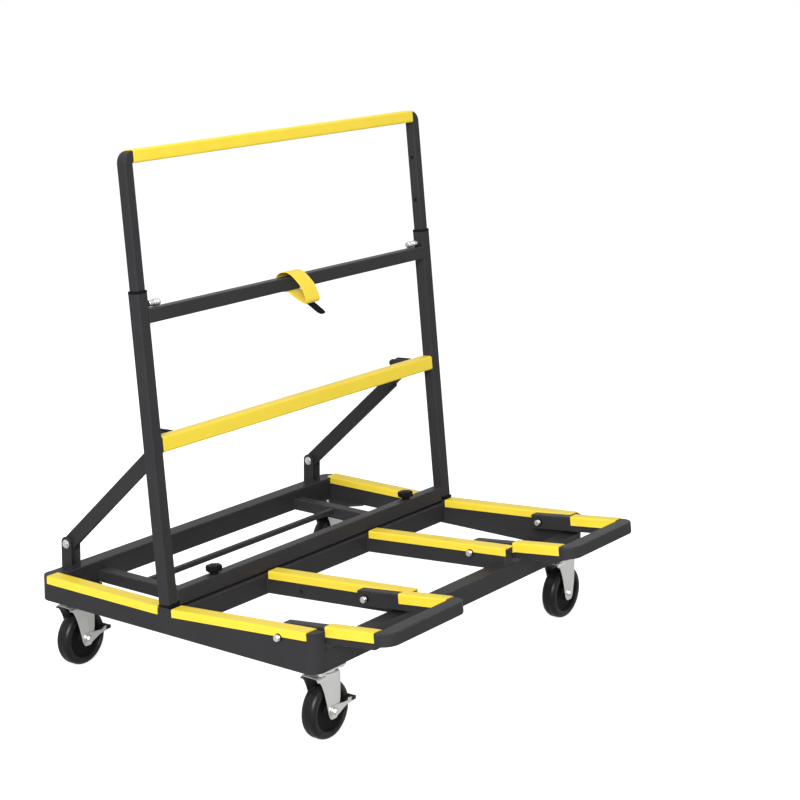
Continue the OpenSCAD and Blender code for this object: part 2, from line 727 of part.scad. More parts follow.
module lip_block(i) {
    a = arm_in_x - arm_width / 2 - lip_cap + i;
    b = arm_out_x + arm_width / 2 + lip_cap - i;
    front = -bar_start - lip_depth;
    r = lip_bar_radius - i;
    span([a, front + lip_bar_radius, lip_bar_low + i], [b, -bar_start - i, lip_bar_high - i]);
    span([a + r, front + i, lip_bar_low + i], [b - r, -bar_start - i, lip_bar_high - i]);
    for (x = [a + r, b - r])
        lip_corner(x, front + lip_bar_radius, r, lip_bar_low + i, lip_bar_high - i, -bar_start - i);
}

module lip_bar() {
    difference() {
        lip_block(0);
        lip_block(tube_wall);
        for (x = [arm_in_x, arm_out_x])
            span([x - arm_width / 2 + tube_wall, -bar_start - 5, lip_bar_low + tube_wall + 2],
                [x + arm_width / 2 - tube_wall, -bar_start + 1, lip_bar_high - tube_wall - 2]);
    }
}

module lip_caps() {
    for (x = [arm_in_x, arm_out_x]) difference() {
        span([x - arm_width / 2 - lip_cap, -bar_start, -lip_cap_side], [x + arm_width / 2 + lip_cap, -cap_start, 0]);
        span([x - arm_width / 2, -bar_start - 1, -lip_cap_side - 1], [x + arm_width / 2, -cap_start + 1, -lip_cap]);
    }
}

module arm_pin_axis() {
    translate([0, -pin_back, -pin_drop]) children();
}

module right_lip_arms() {
    color(steel) on_lip() difference() {
        lip_arms();
        arm_pin_axis() along_x(arm_out_x - arm_width, arm_out_x + arm_width, pin_radius + run_fit);
    }
}

module left_lip_arms() {
    color(steel) on_lip() difference() {
        mirror([1, 0, 0]) lip_arms();
        arm_pin_axis() along_x(-arm_in_x - arm_width, -arm_in_x + arm_width, pin_radius + run_fit);
    }
}

module right_lip_bar() { color(steel) on_lip() lip_bar(); }
module left_lip_bar() { color(steel) on_lip() mirror([1, 0, 0]) lip_bar(); }
module right_lip_caps() { color(yellow) on_lip() lip_caps(); }
module left_lip_caps() { color(yellow) on_lip() mirror([1, 0, 0]) lip_caps(); }

// pull pins, heads toward -X
module pull_pin(face, tip) {
    along_x(face - 4, tip, pin_radius);
    along_x(face - 12.5, face - 4, pin_head);
}

module left_rail_pin() { color(zinc) place() pin_axis_on_rail() pull_pin(-rail_out, -rail_in - 0.1); }
module inner_rail_pin() {
    color(zinc) place() pin_axis_on_rail() pull_pin(inner_rail_x - rail_width / 2, inner_rail_x + rail_width / 2 - 0.1);
}
module left_lip_pin() { color(zinc) on_lip() arm_pin_axis() pull_pin(-arm_in_x - arm_width / 2, -arm_in_x + arm_width / 2 - 0.1); }
module right_lip_pin() { color(zinc) on_lip() arm_pin_axis() pull_pin(arm_out_x - arm_width / 2, arm_out_x + arm_width / 2 - 0.1); }

left_side_rail();
right_side_rail();
rear_rail();
front_rail();
seat_rail();
left_inner_rail();
right_inner_rail();
rear_stringers();
tie_bar();
corner_plates();
side_rail_caps();
inner_rail_caps();
brace_feet();
brace_foot_bolts();
caster_plates();
caster_bolts();
fl_fork();
fr_fork();
rl_fork();
rr_fork();
fl_axle();
fr_axle();
rl_axle();
rr_axle();
fl_wheel();
fr_wheel();
rl_wheel();
rr_wheel();
fl_brake();
rl_brake();
post_glides();
left_post();
right_post();
bottom_rail();
lower_crossbar();
mid_crossbar();
lower_pad();
brace_lugs();
brace_pins();
strap_loop();
left_knob();
right_knob();
left_mast_pin();
right_mast_pin();
left_mast_tube();
right_mast_tube();
mast_top_bar();
mast_pad();
left_brace();
right_brace();
left_lip_arms();
left_lip_bar();
left_lip_caps();
right_lip_arms();
right_lip_bar();
right_lip_caps();
left_rail_pin();
left_lip_pin();
inner_rail_pin();
right_lip_pin();
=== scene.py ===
from math import atan2, cos, degrees, hypot, pi, radians, sin, tan

import bmesh
import bpy
from mathutils import Matrix, Vector


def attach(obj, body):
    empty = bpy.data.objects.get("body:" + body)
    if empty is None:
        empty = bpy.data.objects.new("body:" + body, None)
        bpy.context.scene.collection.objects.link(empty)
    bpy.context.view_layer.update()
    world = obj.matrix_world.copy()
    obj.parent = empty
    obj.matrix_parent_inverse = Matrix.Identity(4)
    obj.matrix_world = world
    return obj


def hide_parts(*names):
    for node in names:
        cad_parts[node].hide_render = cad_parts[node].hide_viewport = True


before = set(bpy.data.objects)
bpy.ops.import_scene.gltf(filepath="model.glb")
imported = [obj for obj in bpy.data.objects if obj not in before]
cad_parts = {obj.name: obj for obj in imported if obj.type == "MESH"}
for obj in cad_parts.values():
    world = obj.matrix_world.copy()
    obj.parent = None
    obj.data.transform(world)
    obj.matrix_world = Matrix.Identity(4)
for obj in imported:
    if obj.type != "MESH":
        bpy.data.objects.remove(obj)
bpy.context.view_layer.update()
print("frame loaded:", len(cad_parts), "nodes")

mm = 0.001
scene = bpy.context.scene
scene.view_settings.view_transform = "Standard"

# main sizes of the cart in millimetres and degrees
cart = {"half": 534, "deck": 220, "deckSlope": 4.6, "lean": 6.3, "lipSlope": 6.6, "footY": 94.846,
        "lipY": -300, "lipLift": 1}
slopeRise = tan(radians(cart["deckSlope"]))
slopeCos = cos(radians(cart["deckSlope"]))
mirrorX = Matrix.Scale(-1, 4, (1, 0, 0))


def shift(x, y, z):
    return Matrix.Translation((x, y, z))


def tilt(angle, axis="X"):
    return Matrix.Rotation(radians(angle), 4, axis)


def addObject(name, data):
    thing = bpy.data.objects.new(name, data)
    scene.collection.objects.link(thing)
    return thing


def aimAt(thing, spot, aim):
    thing.location = spot
    thing.rotation_mode = "QUATERNION"
    thing.rotation_quaternion = (Vector(aim) - Vector(spot)).to_track_quat("-Z", "Y")


baseFrame = shift(0, cart["footY"], 0)
flatDeck = baseFrame @ shift(0, 0, cart["deck"])
deckFrame = flatDeck @ tilt(-cart["deckSlope"])
uprightFrame = flatDeck @ tilt(-cart["lean"])
lipHeight = cart["deck"] - cart["lipY"] * slopeRise + cart["lipLift"]
lipFrame = baseFrame @ shift(0, cart["lipY"], lipHeight) @ tilt(-cart["lipSlope"])

# camera at the photograph's viewing angle
view = {"lens": 93.7, "shift": (0.104, -0.0989), "from": (-3672.4, -2842.4, 1713.3), "aim": (0, 0, 758.4)}
camera = addObject("viewCamera", bpy.data.cameras.new("viewCamera"))
camera.data.lens = view["lens"]
camera.data.shift_x, camera.data.shift_y = view["shift"]
aimAt(camera, (baseFrame @ Vector(view["from"])) * mm, (baseFrame @ Vector(view["aim"])) * mm)
scene.camera = camera


# finishes
def hexColour(code):
    parts = [int(code[i:i + 2], 16) / 255 for i in (1, 3, 5)]
    return (*[c / 12.92 if c <= 0.04045 else ((c + 0.055) / 1.055) ** 2.4 for c in parts], 1)


def setInputs(tree, node, inputs):
    for key, value in inputs.items():
        if isinstance(value, bpy.types.NodeSocket):
            tree.links.new(value, node.inputs[key])
        else:
            node.inputs[key].default_value = value


def addNode(tree, kind, inputs, **settings):
    node = tree.nodes.new("ShaderNode" + kind)
    for key, value in settings.items():
        setattr(node, key, value)
    setInputs(tree, node, inputs)
    return node


def addNoise(tree, at, size, detail):
    noise = addNode(tree, "TexNoise", {"Vector": at, "Scale": 1 / (size * mm), "Detail": detail})
    return noise.outputs["Fac"]


def addRange(tree, value, limits):
    return addNode(tree, "MapRange", {"Value": value, **limits}).outputs["Result"]


def addMath(tree, operation, first, second):
    return addNode(tree, "Math", {0: first, 1: second}, operation=operation).outputs[0]


# the mix node's colour sockets go by number
def addMix(tree, share, first, second):
    return addNode(tree, "Mix", {"Factor": share, 6: first, 7: second}, data_type="RGBA").outputs[2]


def newFinish(name):
    finish = bpy.data.materials.new(name)
    finish.use_nodes = True
    tree = finish.node_tree
    return finish, tree, tree.nodes["Principled BSDF"], addNode(tree, "TexCoord", {}).outputs["Object"]


# colour, roughness that follows a pattern, and relief as strength and depth in mm
def dressSurface(tree, shader, colour, pattern, rough, height, relief):
    dull = addRange(tree, pattern, {"To Min": rough[0], "To Max": rough[1]})
    bump = addNode(tree, "Bump", {"Height": height, "Strength": relief[0], "Distance": relief[1] * mm})
    setInputs(tree, shader, {"Base Color": colour, "Roughness": dull, "Normal": bump.outputs["Normal"]})


# patches blend two tones, grain lifts the surface, rounded edges may take a paler tone; patterns are mm and
# detail
def mottledFinish(name, look):
    finish, tree, shader, at = newFinish(name)
    patch = addNoise(tree, at, *look["patch"])
    share = addRange(tree, patch, look["spread"]) if "spread" in look else patch
    colour = addMix(tree, share, *[hexColour(code) for code in look["tones"]])
    # rounded edges take a paler tone, broken into patches by noise; on the coat it is a painted edge
    # highlight
    if "paleEdgeTone" in look:
        edges = addNode(tree, "Attribute", {}, attribute_name="roundedEdge").outputs["Fac"]
        edgeBreak = patch
        if "edgeBreak" in look:
            edgeBreak = addRange(tree, addNoise(tree, at, *look["edgeBreak"]), look["edgeBreakSpread"])
        colour = addMix(tree, addMath(tree, "MULTIPLY", edges, edgeBreak), colour, hexColour(look["paleEdgeTone"]))
    grain = addNoise(tree, at, *look["grain"])
    dressSurface(tree, shader, colour, patch, look["rough"], grain, look["relief"])
    setInputs(tree, shader, look["sockets"])
    return finish


# satin powder coat on steel tube: even charcoal, faint orange peel, rounded edges a little paler in patches
# as a painted edge highlight
coat = {"tones": ("#2d2c2e", "#363537"), "patch": (70, 3), "paleEdgeTone": "#494849", "edgeBreak": (9, 5),
        "edgeBreakSpread": {"From Min": 0.42, "From Max": 0.7, "To Max": 0.55}, "rough": (0.42, 0.54),
        "grain": (2.6, 2), "relief": (0.16, 0.4), "sockets": {"Specular IOR Level": 0.12}}
powderCoat = mottledFinish("powderCoatedSteel", coat)

# extruded PVC cover strip: clear warm yellow, soft gloss, faint grain and a paler tone on the rounded edges
strip = {"tones": ("#f6d72f", "#fae14c"), "patch": (45, 4), "paleEdgeTone": "#fbe88a", "rough": (0.36, 0.5),
         "grain": (3.0, 2), "relief": (0.1, 0.4), "sockets": {"Specular IOR Level": 0.35}}
yellowCover = mottledFinish("extrudedYellowPvc", strip)

# bright zinc plate on pressed steel: pale, a little cloudy, cool and warm patches from the passivation
plating = {"tones": ("#d2d5d9", "#dedbd4"), "patch": (14, 5), "rough": (0.26, 0.44), "grain": (1.6, 3),
           "relief": (0.08, 0.3), "sockets": {"Metallic": 1.0}}
zincPlate = mottledFinish("zincPlatedSteel", plating)

# cast polyurethane tyre: near black with a soft shine, dusty in places
tyreLook = {
    "tones": ("#0b0b0c", "#242322"), "patch": (18, 6),
    "spread": {"From Min": 0.5, "From Max": 0.8, "To Max": 0.35}, "rough": (0.22, 0.46), "grain": (2.2, 2),
    "relief": (0.15, 0.4), "sockets": {"Specular IOR Level": 0.28}
}
tyreRubber = mottledFinish("castPolyurethaneTyre", tyreLook)

# moulded glass-filled nylon: dull black with a fine spark-eroded grain
nylonLook = {"tones": ("#0e0e0f", "#181819"), "patch": (25, 4), "rough": (0.38, 0.52), "grain": (1.8, 2),
             "relief": (0.2, 0.3), "sockets": {"Specular IOR Level": 0.05}}
blackNylon = mottledFinish("mouldedBlackNylon", nylonLook)

# woven polyester webbing: ribs across the band; threads of near 1 mm are drawn coarser so they show
weave = {"rib": 3.0, "thread": 2.2, "wobble": 0.6, "fuzz": (7, 5), "rough": (0.7, 0.9),
         "relief": (0.4, 0.6)}
# a wave texture of scale 1 has a band each 2 pi / 20
waveBand = 0.314


def wovenWebbing(name, light, deep, bloom, shine):
    finish, tree, shader, at = newFinish(name)
    waves = []
    for direction, size in (("X", weave["rib"]), ("Z", weave["thread"])):
        inputs = {"Vector": at, "Scale": waveBand / (size * mm), "Distortion": weave["wobble"]}
        waves.append(addNode(tree, "TexWave", inputs, bands_direction=direction).outputs["Fac"])
    cross = addMath(tree, "MAXIMUM", *waves)
    # the deep tone fills the hollows between threads, where the bump is lowest: a painted shade
    colour = addMix(tree, cross, hexColour(deep), hexColour(light))
    fuzz = addNoise(tree, at, *weave["fuzz"])
    dressSurface(tree, shader, colour, fuzz, weave["rough"], cross, weave["relief"])
    setInputs(tree, shader, {"Sheen Weight": bloom, "Specular IOR Level": shine})
    return finish


# the second tone of each webbing is the painted shade between its threads
yellowWebbing = wovenWebbing("wovenYellowWebbing", "#f9e04a", "#e3c122", 0.2, 0.2)
blackWebbing = wovenWebbing("wovenBlackWebbing", "#111112", "#080808", 0.0, 0.06)


# shapes hold points in millimetres, faces, and a mark on the faces of rounded edges
def shapeOf(mesh, roundedEdge=()):
    roundedEdge = set(roundedEdge)
    mesh.verts.index_update()
    shape = {"points": [v.co.copy() for v in mesh.verts],
             "faces": [[v.index for v in f.verts] for f in mesh.faces],
             "roundedEdge": [f in roundedEdge for f in mesh.faces]}
    mesh.free()
    return shape


def moved(shape, matrix):
    flip = matrix.to_3x3().determinant() < 0
    faces = [f[::-1] if flip else f for f in shape["faces"]]
    return {"points": [matrix @ p for p in shape["points"]], "faces": faces, "roundedEdge": shape["roundedEdge"]}


def joined(shapes):
    whole = {"points": [], "faces": [], "roundedEdge": []}
    for shape in shapes:
        start = len(whole["points"])
        whole["points"] += shape["points"]
        whole["faces"] += [[i + start for i in f] for f in shape["faces"]]
        whole["roundedEdge"] += shape["roundedEdge"]
    return whole


def bothSides(shape):
    return joined([shape, moved(shape, mirrorX)])


def span(middle, half):
    return middle - half, middle + half


def rectangle(x0, y0, x1, y1):
    return [(x0, y0), (x1, y0), (x1, y1), (x0, y1)]


def arcPoints(radius, angles):
    return [(radius * cos(radians(a)), radius * sin(radians(a))) for a in angles]


# rounds the corners of a closed outline, each as far as its two sides leave room
def fillet(outline, radii, steps=5):
    room = {"shared": 0.49, "whole": 0.97}
    rounded = []
    count = len(outline)
    reach = [radii.get(i, 0) if isinstance(radii, dict) else radii for i in range(count)]
    for i, corner in enumerate(outline):
        p = Vector(corner)
        if reach[i] <= 0:
            rounded.append(p)
            continue
        after = (i + 1) % count
        a = Vector(outline[i - 1]) - p
        b = Vector(outline[after]) - p
        half = a.angle(b) / 2
        roomA = a.length * room["shared" if reach[i - 1] > 0 else "whole"]
        roomB = b.length * room["shared" if reach[after] > 0 else "whole"]
        back = min(reach[i] / tan(half), roomA, roomB)
        centre = p + (a.normalized() + b.normalized()).normalized() * (back / cos(half))
        start = p + a.normalized() * back - centre
        end = p + b.normalized() * back - centre
        turn = start.angle_signed(end)
        for k in range(steps + 1):
            angle = -turn * k / steps
            c, s = cos(angle), sin(angle)
            rounded.append(centre + Vector((start.x * c - start.y * s, start.x * s + start.y * c)))
    return rounded


# faces through rings of points, closed by end faces or as a loop
def ringMesh(rings, loop=False):
    mesh = bmesh.new()
    rows = [[mesh.verts.new(p) for p in ring] for ring in rings]
    count = len(rings[0])
    for k in range(len(rows) if loop else len(rows) - 1):
        a, b = rows[k], rows[(k + 1) % len(rows)]
        for i in range(count):
            j = (i + 1) % count
            mesh.faces.new((a[i], a[j], b[j], b[i]))
    if not loop:
        mesh.faces.new(rows[0][::-1])
        mesh.faces.new(rows[-1])
    bmesh.ops.recalc_face_normals(mesh, faces=mesh.faces)
    return mesh


def skin(rings, loop=False):
    return shapeOf(ringMesh(rings, loop))


def prism(outline, axis, low, high):
    spot = "xyz".index(axis)
    return ringMesh([[(*p[:spot], run, *p[spot:2]) for p in outline] for run in (low, high)])


def softened(mesh, edge, steps, sharp=28):
    rims = [e for e in mesh.edges if len(e.link_faces) == 2 and e.calc_face_angle(0) > radians(sharp)]
    done = bmesh.ops.bevel(mesh, geom=rims, offset=edge, segments=steps, profile=0.5, affect="EDGES",
                           clamp_overlap=True)
    return shapeOf(mesh, done["faces"])


def plate(outline, axis, low, high, edge, steps=2):
    return softened(prism(outline, axis, low, high), edge, steps)


def bar(low, high, edge, steps=3):
    return plate(rectangle(low[0], low[1], high[0], high[1]), "z", low[2], high[2], edge, steps)


# a profile of radius and height, turned round Z; the end faces close it, so level points on the axis go
def lathe(profile, steps, loop=False, least=0.3):
    ends = list(profile)
    if not loop and ends[0] == (0, ends[1][1]):
        ends = ends[1:]
    if not loop and ends[-1] == (0, ends[-2][1]):
        ends = ends[:-1]
    angles = [2 * pi * k / steps for k in range(steps)]
    rings = [[Vector((max(r, least) * cos(t), max(r, least) * sin(t), z)) for t in angles] for r, z in ends]
    return skin(rings, loop)


def carved(shape, cutter):
    pair = []
    for part in (shape, cutter):
        mesh = bpy.data.meshes.new("blank")
        mesh.from_pydata(part["points"], [], part["faces"])
        pair.append(addObject("blank", mesh))
    cut = pair[0].modifiers.new("cut", "BOOLEAN")
    cut.operation = "DIFFERENCE"
    cut.solver = "EXACT"
    cut.object = pair[1]
    result = bpy.data.meshes.new_from_object(pair[0].evaluated_get(bpy.context.evaluated_depsgraph_get()))
    mesh = bmesh.new()
    mesh.from_mesh(result)
    out = shapeOf(mesh)
    for piece in pair:
        bpy.data.meshes.remove(piece.data)
    bpy.data.meshes.remove(result)
    return out


cutterEdge = 0.01
# edges that turn more than this stay crisp
crease = 38


def makePiece(name, shape, place, body, finish, *nodes):
    mesh = bpy.data.meshes.new(name)
    turned = moved(shape, place)
    mesh.from_pydata([p * mm for p in turned["points"]], [], turned["faces"])
    roundedEdge = mesh.attributes.new("roundedEdge", "FLOAT", "FACE")
    roundedEdge.data.foreach_set("value", [float(w) for w in turned["roundedEdge"]])
    mesh.polygons.foreach_set("use_smooth", [True] * len(mesh.polygons))
    mesh.set_sharp_from_angle(angle=radians(crease))
    mesh.materials.append(finish)
    piece = addObject(name, mesh)
    smooth = piece.modifiers.new("faceNormals", "WEIGHTED_NORMAL")
    smooth.keep_sharp = True
    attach(piece, body)
    if nodes:
        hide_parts(*nodes)


# a right piece and its mirror on the left; the body and the node are named for the side
def makeSides(name, shape, place, body, finish, *nodes):
    for side, flip in (("left", mirrorX), ("right", Matrix.Identity(4))):
        stands = [node.format(side) for node in nodes]
        makePiece(side + name, moved(shape, flip), place, body.format(side), finish, *stands)


onBase = (baseFrame, "base")
onUpright = (uprightFrame, "upright")


# a rod along X from x0 to x1
def rodX(x0, x1, radius, edge=0.6, steps=40):
    profile = [(0, x0), (radius - edge, x0), (radius, x0 + edge), (radius, x1 - edge), (radius - edge, x1),
               (0, x1)]
    return moved(lathe(profile, steps), tilt(90, "Y"))


# hexagon head, washer and bolt end; the washer's radii are shares of the head's
boltHead = {"edge": 0.9, "washer": ((0, 0), (1.22, 0), (1.26, 0.3), (1.26, 1.1), (1.2, 1.4), (0, 1.4)),
            "end": 0.5, "endRise": (-0.4, 0.1, 0.3)}


def hexHead(radius, height):
    head = plate(arcPoints(radius, range(0, 360, 60)), "z", 0, height, boltHead["edge"], 2)
    washer = lathe([(radius * share, z) for share, z in boltHead["washer"]], 40)
    low, rim, tip = (height + rise for rise in boltHead["endRise"])
    end = radius * boltHead["end"]
    return joined([head, washer, lathe([(0, low), (end, low), (end, rim), (0, tip)], 32)])


def throughBolt(x0, x1, radius, shank, height):
    head = hexHead(radius, height)
    out = moved(head, shift(x1 - height, 0, 0) @ tilt(90, "Y"))
    back = moved(head, shift(x0 + height, 0, 0) @ tilt(-90, "Y"))
    return joined([rodX(x0 + 1, x1 - 1, shank), out, back])


# welds: short rippled beads between two points, or round a boss, painted over
bead = {"pitch": 1.6, "ripple": 0.14, "beat": 2.1, "tip": 0.3, "ringSteps": 44, "ringRipple": 0.15,
        "ringBeat": 7.3}


def weldRun(start, end, radius):
    start, end = Vector(start), Vector(end)
    along = end - start
    turn = along.to_track_quat("Z", "Y").to_matrix().to_4x4()
    count = max(6, int(along.length / bead["pitch"]))
    profile = [(bead["tip"], 0)]
    for k in range(count):
        swell = 1 + bead["ripple"] * sin(bead["beat"] * k)
        profile.append((radius * swell, along.length * (k + 0.5) / count))
    profile.append((bead["tip"], along.length))
    return moved(lathe(profile, 10), Matrix.Translation(start) @ turn)


def weldRing(radius, size):
    rings = []
    for k in range(bead["ringSteps"]):
        a = 2 * pi * k / bead["ringSteps"]
        b = size * (1 + bead["ringRipple"] * sin(bead["ringBeat"] * k))
        spoke = Vector((cos(a), sin(a), 0))
        rings.append([spoke * (radius + b * cos(t)) + Vector((0, 0, b * sin(t)))
                      for t in (pi * i / 4 for i in range(8))])
    return skin(rings, True)


# rows of welds: places in X, a run in Y, a run in Z and the size of the bead
def weldRows(rows, sides=(1, -1)):
    return joined([weldRun((s * x, y0, z0), (s * x, y1, z1), size)
                   for s in sides for xs, y0, y1, z0, z1, size in rows for x in xs])


# side rails: level behind the seat, rising to the front, with round outer corners
sideRail = {"out": 531, "in": 499, "bottom": 161, "top": 217, "back": 377, "front": 407, "corner": 28,
            "edge": 2.4, "seat": (-19, 17), "cap": 3}


def sideRailShape():
    r = sideRail
    front = cart["deck"] - r["cap"] / slopeCos
    seatFront, seatBack = r["seat"]
    outline = [(r["back"], r["bottom"]), (r["back"], r["top"]), (seatBack, r["top"]),
               (seatBack, cart["deck"]), (seatFront, cart["deck"]),
               (seatFront, front - seatFront * slopeRise), (-r["front"], front + r["front"] * slopeRise),
               (-r["front"], r["bottom"])]
    mesh = prism(outline, "x", -r["out"], -r["in"])
    mesh.verts.index_update()
    ends = ({0, 1}, {6, 7})
    corners = [e for e in mesh.edges if {v.index for v in e.verts} in ends]
    bmesh.ops.bevel(mesh, geom=corners, offset=r["corner"], segments=9, profile=0.5, affect="EDGES")
    return softened(mesh, r["edge"], 3)


makeSides("SideRail", moved(sideRailShape(), mirrorX), *onBase, powderCoat, "{}_side_rail")

# cross rails, each with its run in Y and in Z
crossRail = {
    "front": ((-407, -369), (161, 208)), "seat": ((-19, 17), (166, 214)), "rear": ((339, 377), (165, 217))
}
crossEdge = 2.6
for key, ((y0, y1), (z0, z1)) in crossRail.items():
    rail = bar((-sideRail["in"], y0, z0), (sideRail["in"], y1, z1), crossEdge)
    makePiece(key + "Rail", rail, *onBase, powderCoat, key + "_rail")

# inner rails, lapped over the front rail; the left one has a stop hole in its outer wall
innerRail = {"x": cart["half"] * 0.356, "width": 32, "height": 50, "cap": 3, "edge": 2.4,
             "hole": {"y": -116, "z": 192, "radius": 4.6, "from": 20, "to": 6}}


def innerRailShape():
    r = innerRail
    top = cart["deck"] - r["cap"] / slopeCos
    low = cart["deck"] - (r["cap"] + r["height"]) / slopeCos
    back = crossRail["seat"][0][0]
    (tip, lap), (floor, lapTop) = crossRail["front"]
    outline = [(back, top - back * slopeRise), (tip, top - tip * slopeRise), (tip, lapTop), (lap, lapTop),
               (lap, low - lap * slopeRise), (back, low - back * slopeRise)]
    return plate(outline, "x", *span(r["x"], r["width"] / 2), r["edge"], 3)


inner = innerRailShape()
makePiece("rightInnerRail", inner, *onBase, powderCoat, "right_inner_rail")
hole = innerRail["hole"]
stopHole = rodX(-innerRail["x"] - hole["from"], -innerRail["x"] - hole["to"], hole["radius"])
leftInner = carved(moved(inner, mirrorX), moved(stopHole, shift(0, hole["y"], hole["z"])))
makePiece("leftInnerRail", leftInner, *onBase, powderCoat, "left_inner_rail")

# rear bay and the corner plates over the casters
rearBay = {"stringer": ((345, 17, 166), (375, 339, 195)), "edge": 2.4,
           "tie": ((-345, 210, 181), (345, 222, 193)), "tieEdge": 1.6}
stringers = bothSides(bar(*rearBay["stringer"], rearBay["edge"]))
makePiece("rearStringers", stringers, *onBase, powderCoat, "rear_stringers")
makePiece("tieBar", bar(*rearBay["tie"], rearBay["tieEdge"]), *onBase, powderCoat, "tie_bar")
cornerPlate = {
    "rear": ((375, 331), (499, 222), (499, 339), (375, 339)), "rounds": {0: 3, 1: 6},
    "front": (400, -369, 499, -260), "low": 161, "high": 167, "edge": 1.2
}
cornerLines = (fillet(cornerPlate["rear"], cornerPlate["rounds"]), rectangle(*cornerPlate["front"]))
cornerSize = (cornerPlate["low"], cornerPlate["high"], cornerPlate["edge"])
cornerPlates = bothSides(joined([plate(line, "z", *cornerSize) for line in cornerLines]))
makePiece("cornerPlates", cornerPlates, *onBase, powderCoat, "corner_plates")

# welds of the base, where each rail meets the next
baseWeld = [
    ((499,), -406, -371, 208.4, 208.4, 2), ((499,), -17, 15, 214.2, 214.2, 2),
    ((498.7,), -407, -407, 164, 206, 1.4), ((174.1, 206.1), -19.3, -19.3, 172, 210, 1.8),
    ((174.1, 206.1), -405, -371, 208.3, 208.3, 1.8), ((345, 375), 17.3, 17.3, 168, 193, 1.8),
    ((345, 375), 338.7, 338.7, 168, 193, 1.8)
]
makePiece("baseWelds", weldRows(baseWeld), *onBase, powderCoat)
print("base frame built")

# yellow cover strips, open below
coverStrip = {"wall": 3, "side": 18, "round": 4.5, "edge": 0.6}


def coverShape(x0, x1, y0, y1, side, wall):
    outline = [(x0, -side), (x0, 0), (x1, 0), (x1, -side), (x1 - wall, -side), (x1 - wall, -wall),
               (x0 + wall, -wall), (x0 + wall, -side)]
    rounds = {1: coverStrip["round"], 2: coverStrip["round"]}
    return plate(fillet(outline, rounds), "y", y0, y1, coverStrip["edge"], 2)


# rear covers are cut away over the rear rail, and covers are notched where a pull pin passes
railCover = {"x": (496, 534), "rear": (18.5, 349), "front": (-385, -21),
             "cut": ((480, 339, -40), (499, 400, -3)), "innerHalf": 19, "inner": (-409, -23)}
pinSpot = {"y": -314, "drop": 20, "clear": 9, "railReach": (-560, -470), "innerReach": (150, 230)}
pinHeight = cart["deck"] - pinSpot["y"] * slopeRise - pinSpot["drop"]
pinLine = baseFrame @ shift(0, pinSpot["y"], pinHeight)
stripSize = (coverStrip["side"], coverStrip["wall"])
rearCover = carved(coverShape(*railCover["x"], *railCover["rear"], *stripSize),
                   bar(*railCover["cut"], cutterEdge, 1))
frontCover = coverShape(*railCover["x"], *railCover["front"], *stripSize)
toDeck = flatDeck.inverted() @ deckFrame
railNotch = moved(rodX(*pinSpot["railReach"], pinSpot["clear"]), flatDeck.inverted() @ pinLine)
leftFront = carved(moved(frontCover, toDeck @ mirrorX), railNotch)
railCovers = joined([bothSides(rearCover), moved(frontCover, toDeck), leftFront])
makePiece("sideRailCovers", railCovers, flatDeck, "base", yellowCover, "side_rail_caps")
innerWide = span(innerRail["x"], railCover["innerHalf"])
innerCover = coverShape(*innerWide, *railCover["inner"], *stripSize)
innerNotch = moved(rodX(*pinSpot["innerReach"], pinSpot["clear"]), deckFrame.inverted() @ pinLine)
innerCovers = joined([moved(innerCover, mirrorX), carved(innerCover, innerNotch)])
makePiece("innerRailCovers", innerCovers, deckFrame, "base", yellowCover, "inner_rail_caps")

# brace brackets: a folded strap with a round head, and its bolt
braceFoot = {"x": 444, "half": 12, "wall": 3.5, "y": 360, "z": 274, "depth": 30, "floor": 217, "above": 16,
             "round": 14, "base": 4, "edge": 0.8, "weld": 1.8, "bolt": (423.5, 464.5, 8.0, 6, 5)}


def braceFootShape():
    f = braceFoot
    y0, y1 = span(f["y"], f["depth"] / 2)
    side = fillet(rectangle(y0, f["floor"], y1, f["z"] + f["above"]), {2: f["round"], 3: f["round"]}, 8)
    wide = f["half"] + f["wall"]
    left, right = span(f["x"], wide)
    parts = [plate(side, "x", x, x + f["wall"], f["edge"]) for x in (left, f["x"] + f["half"])]
    low = (f["x"] - f["half"], y0, f["floor"])
    parts.append(bar(low, (f["x"] + f["half"], y1, f["floor"] + f["base"]), f["edge"], 2))
    weld = ((left, right), y0 + 1, y1 - 1, f["floor"], f["floor"], f["weld"])
    return joined(parts + [weldRows([weld], (1,))])


makePiece("braceFeet", bothSides(braceFootShape()), *onBase, powderCoat, "brace_feet")
atFoot = shift(0, braceFoot["y"], braceFoot["z"])
footBolt = moved(throughBolt(*braceFoot["bolt"]), atFoot)
makePiece("braceFootBolts", bothSides(footBolt), *onBase, zincPlate, "brace_foot_bolts")
print("covers and brackets built")

# casters
caster = {"x": 467, "front": -376, "rear": 322, "trail": 9, "wheel": 63.5, "legIn": 21, "sheet": 3,
          "crown": 147.1, "bend": 7, "grip": 3.3, "axle": 6, "nut": (7.6, 5.6)}
spots = {row[0] + side[0]: (row + "_" + side, s * caster["x"], caster[row])
         for row in ("front", "rear") for side, s in (("left", -1), ("right", 1))}
atHub = shift(caster["trail"], 0, caster["wheel"])

# top plate with its race, kingpin and nut, and its four bolts
casterTop = {
    "half": (45, 31), "round": 7, "low": 157, "high": 161, "edge": 0.7,
    "race": ((0, 151), (24.5, 151), (26.4, 151.6), (27, 153), (26.6, 155), (24.5, 157), (0, 157)),
    "pin": ((0, 138.6), (5, 138.6), (6, 139.4), (6, 152), (0, 152)), "nut": (9.5, 4), "nutTop": 142.6,
    "bolt": (34, 22), "boltHead": (6.4, 5), "boltNut": (6.4, 6),
    "boltTip": ((0, 5), (4, 5), (4, 10.2), (3.3, 11), (0, 11))
}


def casterPlateShape():
    c = casterTop
    w, d = c["half"]
    flat = plate(fillet(rectangle(-w, -d, w, d), c["round"]), "z", c["low"], c["high"], c["edge"])
    nut = moved(hexHead(*c["nut"]), shift(0, 0, c["nutTop"]) @ tilt(180))
    return joined([flat, lathe(c["race"], 56), lathe(c["pin"], 32), nut])


